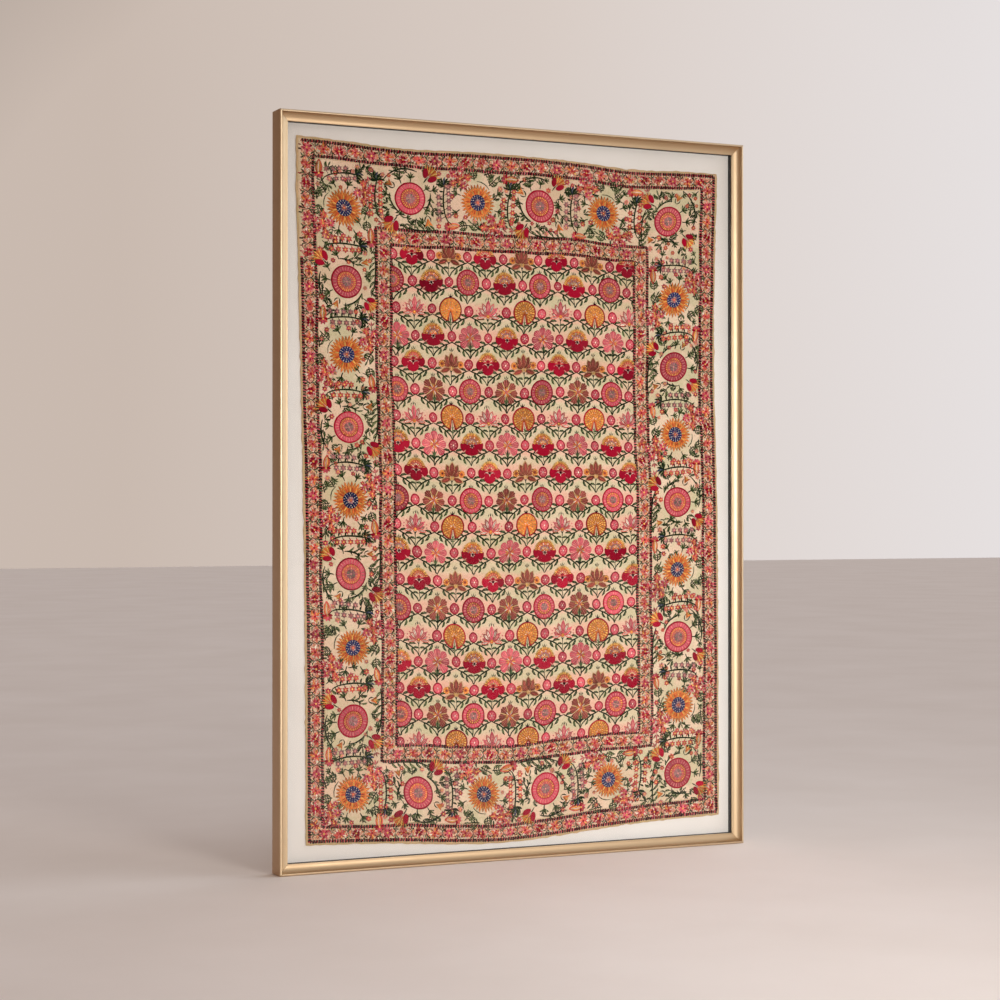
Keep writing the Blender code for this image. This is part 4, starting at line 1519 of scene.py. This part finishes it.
sunflowerGarden = [
    ("cluster", 31, 22, 30, 1.0), ("cluster", -31, -25, 205, 1.0),
    ("lily", 36, -44, 4, 1.0), ("lily", -35, 42, -6, 1.0),
    ("sprig", 35, 3, 150, 0.95), ("sprig", 32, -15, 190, 0.9), ("shortStem", 33, -30, -46, 1.0),
    ("sprig", -25, 18, 40, 0.9), ("sprig", -38, 10, 12, 1.0), ("sprig", -31, -5, 100, 0.85),
    ("shortStem", -25, 8, 72, 0.8), ("palm", 8, 29, -20, 0.9), ("palm", -9, -29, 165, 0.9),
    ("palm", 14, -30, 215, 0.9), ("palm", -12, 30, 30, 0.9), ("threePetals", 35, 38, 10, 1.0),
    ("threePetals", -20, -37, 180, 1.0), ("blossom", 21, -33, 0, 0.8), ("blushBlossom", -20, 36, 0, 0.9),
    ("smallSprig", 20, 36, -20, 0.8), ("redBlossom", 3, 36, 0, 0.8), ("redBlossom", -3, -37, 0, 0.8),
]

border = {"centre": 67.0, "sideFirst": -88.0, "sidePitch": 97.2, "sideX": 249.0,
          "rowX": [-154.5, -56.0, 38.0, 136.5], "inside": 109.0, "outside": 25.0}
borderHeads, borderFlowers, borderLeaves = newPiece(), newPiece(), newPiece()
leafy = ("sprig", "smallSprig", "palm", "bough", "arc", "innerArc", "topArc", "shortStem")
taken = []


def putCell(kind, x, z, quarter):
    # quarter turns the cell so that its first axis points to the field
    stamp(borderHeads, borderParts[kind], x, z, turn=dice.uniform(0, 360), size=dice.normal(1, 0.015))
    a = math.radians(quarter)
    for name, across, along, turn, size in (roundelGarden if kind == "roundel" else sunflowerGarden):
        loose = 0.0 if name in ("arc", "innerArc", "topArc", "bough") else 1.0
        spot = (x + across * math.cos(a) - along * math.sin(a) + dice.normal(0, 0.9) * loose,
                z + across * math.sin(a) + along * math.cos(a) + dice.normal(0, 0.9) * loose)
        stamp(borderLeaves if name in leafy else borderFlowers, borderParts[name], *spot,
              turn=turn + quarter + dice.normal(0, 5) * loose, size=size * dice.normal(1, 0.04))
        if loose:
            taken.append((*spot, 15.0 if name == "cluster" else 12.0))
    taken.append((x, z, 25.0))


for step in range(9):
    z = border["sideFirst"] - step * border["sidePitch"]
    putCell("sunflower" if step % 2 == 0 else "roundel", -border["sideX"], z, 0)
    putCell("roundel" if step % 2 == 0 else "sunflower", border["sideX"] - (10 if step == 0 else 0),
            z + (16 if step == 0 else 0), 180)
    if step < 8:
        middle = z - border["sidePitch"] / 2
        for side in (-1, 1):
            name = "mauveSpray" if (step + (side > 0)) % 2 else "pinkSpray"
            stamp(borderFlowers, borderParts[name], side * border["sideX"], middle, turn=dice.normal(0, 3),
                  flip=side > 0, size=0.98)
            taken.append((side * border["sideX"], middle, 20.0))
for step, x in enumerate(border["rowX"]):
    kind = "roundel" if step % 2 == 0 else "sunflower"
    putCell(kind, x, -border["centre"], -90)
    putCell(kind, x, -(rugTall - border["centre"]), 90)
for step, x in enumerate((-203, -105, -9, 87, 187)):
    name = "mauveSpray" if step % 2 else "pinkSpray"
    for z, turn in ((-border["centre"], 90), (-(rugTall - border["centre"]), -90)):
        stamp(borderFlowers, borderParts[name], x, z, turn=turn + dice.normal(0, 3), size=0.98)
        taken.append((x, z, 20.0))
stamp(borderFlowers, borderParts["mauveSpray"], -250, -44, turn=8, size=0.9)

# what is left between is filled with small leaves and blossoms
filler = {"tries": 15000, "apart": 6.9, "inset": 26, "size": (0.62, 0.9),
          "kinds": ["smallSprig", "palm", "blossom", "smallSprig", "redBlossom", "palm", "blushBlossom"]}
placed = []
for _ in range(filler["tries"]):
    wide = rugHalf - filler["inset"]
    x, z = dice.uniform(-wide, wide), dice.uniform(filler["inset"] - rugTall, -filler["inset"])
    edge = min(rugHalf - abs(x), -z, rugTall + z)
    if not border["outside"] + 5 < edge < border["inside"] - 5:
        continue
    if any((x - a) ** 2 + (z - b) ** 2 < (r * (1 if r > 24 else 0.72)) ** 2 for a, b, r in taken):
        continue
    if any((x - a) ** 2 + (z - b) ** 2 < filler["apart"] ** 2 for a, b in placed):
        continue
    placed.append((x, z))
    name = filler["kinds"][int(dice.integers(len(filler["kinds"])))]
    stamp(borderLeaves if name in leafy else borderFlowers, borderParts[name], x, z,
          turn=dice.uniform(0, 360), size=dice.uniform(*filler["size"]))
print("border filled with", len(placed), "small sprigs")
sewOn(borderLeaves, "borderLeaves")
sewOn(borderFlowers, "borderFlowers", 0.05)
sewOn(borderHeads, "borderHeads", 0.10)


# guards: small flowers in turn, pink and orange, with leaves between

def guardLeaves():
    m = newMotif()
    for side in (-1, 1):
        leafStroke(m, (0, side * 1.0), (side * 2.6, side * 9.2), 0.2, 1.5, "bottleGreen", 0, "sage")
        leafStroke(m, (side * 0.8, side * 4.0), (side * -4.2, side * 8.4), 0.2, 1.4, "bottleGreen", 0)
        leafStroke(m, (side * 1.2, side * 3.0), (side * 6.0, side * 4.6), 0.25, 1.2, "olive", 0)
        middle = (side * -3.2, side * 2.2)
        for a in (0, 72, 144, 216, 288):
            leafStroke(m, polar(middle, a, 0.3), polar(middle, a + 8, 3.1), 0, 1.0,
                       "rose" if side > 0 else "coral", 0)
        disc(m, middle, 0.9, "saffron", 1, 5)
    layRow(m, [(-2.6, -5), (0.6, 0), (2.6, 5)], 0.6, "blackPlum", 0)
    return m


guardParts = [bloom("rose", ("rose", "crimson", "blush", "coral", "maroon"), "saffron"),
              bloom("coral", ("orange", "saffron", "russet", "blush", "cream"), "crimson"),
              bloom("crimson", ("coral", "maroon", "blush", "crimson", "rose", "cream"), "saffron"),
              bloom("coral", ("coral", "blush", "russet", "saffron", "cream", "rose"), "crimson")]
guardGap = guardLeaves()
guards = {"outer": 14.5, "inner": 120.5, "pitch": 11.4, "half": 8.7, "dots": 5600}
outerGuard, innerGuard = newPiece(), newPiece()


def walkRound(inset, step):
    wide, tall = rugHalf - inset, rugTall - 2 * inset
    spots = []
    for a, b, turn in (((-wide, -inset), (wide, -inset), 0), ((wide, -inset), (wide, -inset - tall), -90),
                       ((wide, -inset - tall), (-wide, -inset - tall), 180),
                       ((-wide, -inset - tall), (-wide, -inset), 90)):
        long = math.dist(a, b)
        count = max(1, round(long / step))
        for i in range(count):
            t = i / count
            spots.append((a[0] + (b[0] - a[0]) * t, a[1] + (b[1] - a[1]) * t, turn))
    return spots


for inset, piece in ((guards["outer"], outerGuard), (guards["inner"], innerGuard)):
    for i, (x, z, turn) in enumerate(walkRound(inset, guards["pitch"])):
        if i % 2:
            stamp(piece, guardGap, x, z, turn=turn + dice.normal(0, 8), size=dice.normal(1, 0.05),
                  flip=bool(i % 4 == 1))
        else:
            stamp(piece, guardParts[(i // 2) % 4], x + dice.normal(0, 0.4), z + dice.normal(0, 0.4),
                  turn=dice.uniform(0, 360), size=dice.normal(1, 0.04))
# tiny filling stitches thicken the guards
tiny, tinyThreads = {}, ("coral", "cream", "bottleGreen", "rose", "blush", "crimson", "blush", "blackPlum",
                         "saffron", "cream", "cream")
for thread in sorted(set(tinyThreads)):
    tiny[thread] = newMotif()
    layRow(tiny[thread], [(-1.3, 0), (1.3, 0)], [0.8, 0.55], thread, 0)
for inset, piece in ((guards["outer"], outerGuard), (guards["inner"], innerGuard)):
    spots = walkRound(inset, 1.0)
    for _ in range(int(guards["dots"] * (0.58 if inset < 50 else 0.42))):
        x, z, turn = spots[int(dice.integers(len(spots)))]
        reach = dice.uniform(-guards["half"], guards["half"])
        a = math.radians(turn + 90)
        stamp(piece, tiny[tinyThreads[int(dice.integers(len(tinyThreads)))]],
              x + reach * math.cos(a), z + reach * math.sin(a), turn=dice.uniform(0, 360))
sewOn(outerGuard, "outerGuard")
sewOn(innerGuard, "innerGuard")


# chain lines: blackish and crimson stitches in turn across the line, a pale row along one side

chains = {"insets": [5.0, 24.0, 110.0, 131.0], "pitch": 1.9, "dark": "blackPlum", "half": 2.2,
          "light": ["crimson", "maroon", "crimson", "maroon", "rose"], "lateLeft": -160}
chainLines = newPiece()
chainStitch = {}
for thread in sorted({chains["dark"], *chains["light"]}):
    chainStitch[thread] = newMotif()
    half = chains["half"] if thread == chains["dark"] else chains["half"] - 0.2
    layRow(chainStitch[thread], [(-0.25, -half), (0.25, half)], 0.95 if thread == chains["dark"] else 1.1,
           thread, 1 if thread == chains["dark"] else 0)
paleRow = newMotif()
layRow(paleRow, [(-5.2, 0), (5.2, 0)], 0.4, "straw", 0)
for inset in chains["insets"]:
    for i, (x, z, turn) in enumerate(walkRound(inset, chains["pitch"])):
        # the outermost line fades out at the top of the left edge
        if inset < 6 and x < -310 and z > chains["lateLeft"] and dice.uniform() < 0.85:
            continue
        thread = chains["dark"] if i % 2 == 0 else chains["light"][int(dice.integers(len(chains["light"])))]
        stamp(chainLines, chainStitch[thread], x, z, turn=turn + dice.normal(0, 5), size=dice.normal(1, 0.05))
    for x, z, turn in walkRound(inset + (3.1 if inset in (24.0, 110.0) else -3.1), 10.0):
        a = math.radians(turn)
        stamp(chainLines, paleRow, x + 5 * math.cos(a), z + 5 * math.sin(a), turn=turn)
sewOn(chainLines, "chainLines")


# loose threads along the worn edge

fray = {"count": 520, "long": (1.2, 4.2)}
edgeThreads = newPiece()
spots = walkRound(0.6, 4.0)
for _ in range(fray["count"]):
    x, z, turn = spots[int(dice.integers(len(spots)))]
    m = newMotif()
    long = dice.uniform(*fray["long"])
    layRow(m, curve((0, 0), (dice.normal(0, 0.8), long), dice.normal(0, 0.2), 4), [0.16, 0.14, 0.12, 0.06],
           ("straw", "cream", "straw")[int(dice.integers(3))], 0)
    stamp(edgeThreads, m, x + dice.uniform(-2, 2), z, turn=turn + dice.normal(0, 30), size=1.0)
sewOn(edgeThreads, "edgeThreads", -0.2)

# floor, light and camera

def makeFloor():
    deselectAll()
    bpy.ops.mesh.primitive_plane_add(size=30, location=(0, 0, moulding["top"] - moulding["height"] - 0.0004))
    floor = bpy.context.object
    floor.name = "paleFloor"
    material, tree, shader = startMaterial("pale floor")
    mottle = cloudiness(tree, objectPlace(tree), 3.0, 4.0)
    feed(tree, shader.inputs["Base Color"],
         blendColours(tree, spread(tree, mottle, 0.3, 0.7), shade(244, 235, 228), shade(238, 228, 220)))
    shader.inputs["Roughness"].default_value = 0.9
    floor.data.materials.append(material)


def addPanel(name, place, aim, size, power, tint, grid):
    light = bpy.data.lights.new(name, "AREA")
    light.shape = "RECTANGLE"
    light.size, light.size_y = size
    light.energy = power
    light.color = tint
    light.spread = math.radians(grid)
    lamp = bpy.data.objects.new(name, light)
    lamp.location = place
    lamp.rotation_euler = (Vector(aim) - Vector(place)).to_track_quat("-Z", "Y").to_euler()
    bpy.context.collection.objects.link(lamp)


def makeWorld():
    world = bpy.data.worlds.new("soft room")
    world.use_nodes = True
    bpy.context.scene.world = world
    tree = world.node_tree
    tree.nodes.clear()
    out = addNode(tree, "ShaderNodeOutputWorld")
    back = addNode(tree, "ShaderNodeBackground")
    place = addNode(tree, "ShaderNodeTexCoord")

    # how far a direction lies towards an axis
    def towards(axis, low, high):
        facing = addNode(tree, "ShaderNodeVectorMath", operation="DOT_PRODUCT")
        tree.links.new(place.outputs["Generated"], facing.inputs[0])
        facing.inputs[1].default_value = Vector(axis).normalized()
        return spread(tree, facing.outputs["Value"], low, high)

    # a room with its window to the right: cool and bright there, warm and dim to the left
    right = towards((0.97, -0.2, 0.05), 0.25, 0.95)
    bright = reckon(tree, "MULTIPLY_ADD", right, 1.5, 0.5)
    bright = reckon(tree, "MULTIPLY_ADD", towards((0.2, -0.5, 0.85), 0.2, 0.95), 0.05, bright)
    dimLeft = reckon(tree, "MULTIPLY_ADD", towards((-0.9, 0.42, 0), 0.15, 0.9), -0.56, 1.0)
    # the part of the room that the pane mirrors to the viewer stays dark
    dimViewer = reckon(tree, "MULTIPLY_ADD", towards((0.42, -0.907, 0), 0.955, 0.983), -0.9, 1.0)
    bright = times(tree, times(tree, bright, dimLeft), dimViewer)
    # above and below that part it is dimmer too
    band = times(tree, towards((0.907, 0.42, 0), -0.36, -0.18),
                 towards((-0.907, -0.42, 0), -0.36, -0.18))
    band = times(tree, band, towards((0.42, -0.907, 0), 0.0, 0.3))
    bright = times(tree, bright, reckon(tree, "MULTIPLY_ADD", band, -0.5, 1.0))
    strength = addNode(tree, "ShaderNodeMix", data_type="FLOAT")
    feed(tree, strength.inputs[0], towards((0.42, 0.907, 0), 0.92, 0.965))
    feed(tree, strength.inputs[2], bright)
    strength.inputs[3].default_value = 0.9
    across = towards((0.884, -0.467, 0), -0.22, 0.22)
    wall = blendColours(tree, across, shade(211, 195, 184), shade(246, 236, 231))
    wall = blendColours(tree, right, wall, shade(236, 243, 255))
    wall = blendColours(tree, towards((-0.8, -0.1, -0.1), 0.0, 0.9), wall, shade(214, 154, 98))
    feed(tree, back.inputs["Color"], wall)
    tree.links.new(strength.outputs[0], back.inputs["Strength"])
    tree.links.new(back.outputs[0], out.inputs["Surface"])


makeFloor()
makeWorld()
bpy.context.scene.view_settings.view_transform = "Standard"
lamps = {
    "roomLight": {"place": (0.12, -2.5, -0.25), "aim": (0.05, 0, -0.8), "size": (0.7, 0.7),
                  "power": 5.9, "tint": (1.0, 0.965, 0.94), "grid": 80},
    "windowLight": {"place": (-0.75, -2.35, -0.35), "aim": (0.5, 0, -0.65), "size": (0.6, 0.6),
                    "power": 1.6, "tint": (0.78, 0.9, 1.0), "grid": 44},
}
for name, lamp in lamps.items():
    addPanel(name, **lamp)

view = {"lens": 80.0, "sensor": 36.0, "reach": 100.0, "place": (-1.304, -2.774, -0.5175),
        "tilt": 90.227, "turn": -24.83}
lens = bpy.data.cameras.new("viewLens")
lens.lens, lens.sensor_width, lens.clip_end = view["lens"], view["sensor"], view["reach"]
viewer = bpy.data.objects.new("viewer", lens)
viewer.location = view["place"]
viewer.rotation_euler = (math.radians(view["tilt"]), 0, math.radians(view["turn"]))
bpy.context.collection.objects.link(viewer)
bpy.context.scene.camera = viewer
print("floor, lights and camera set")
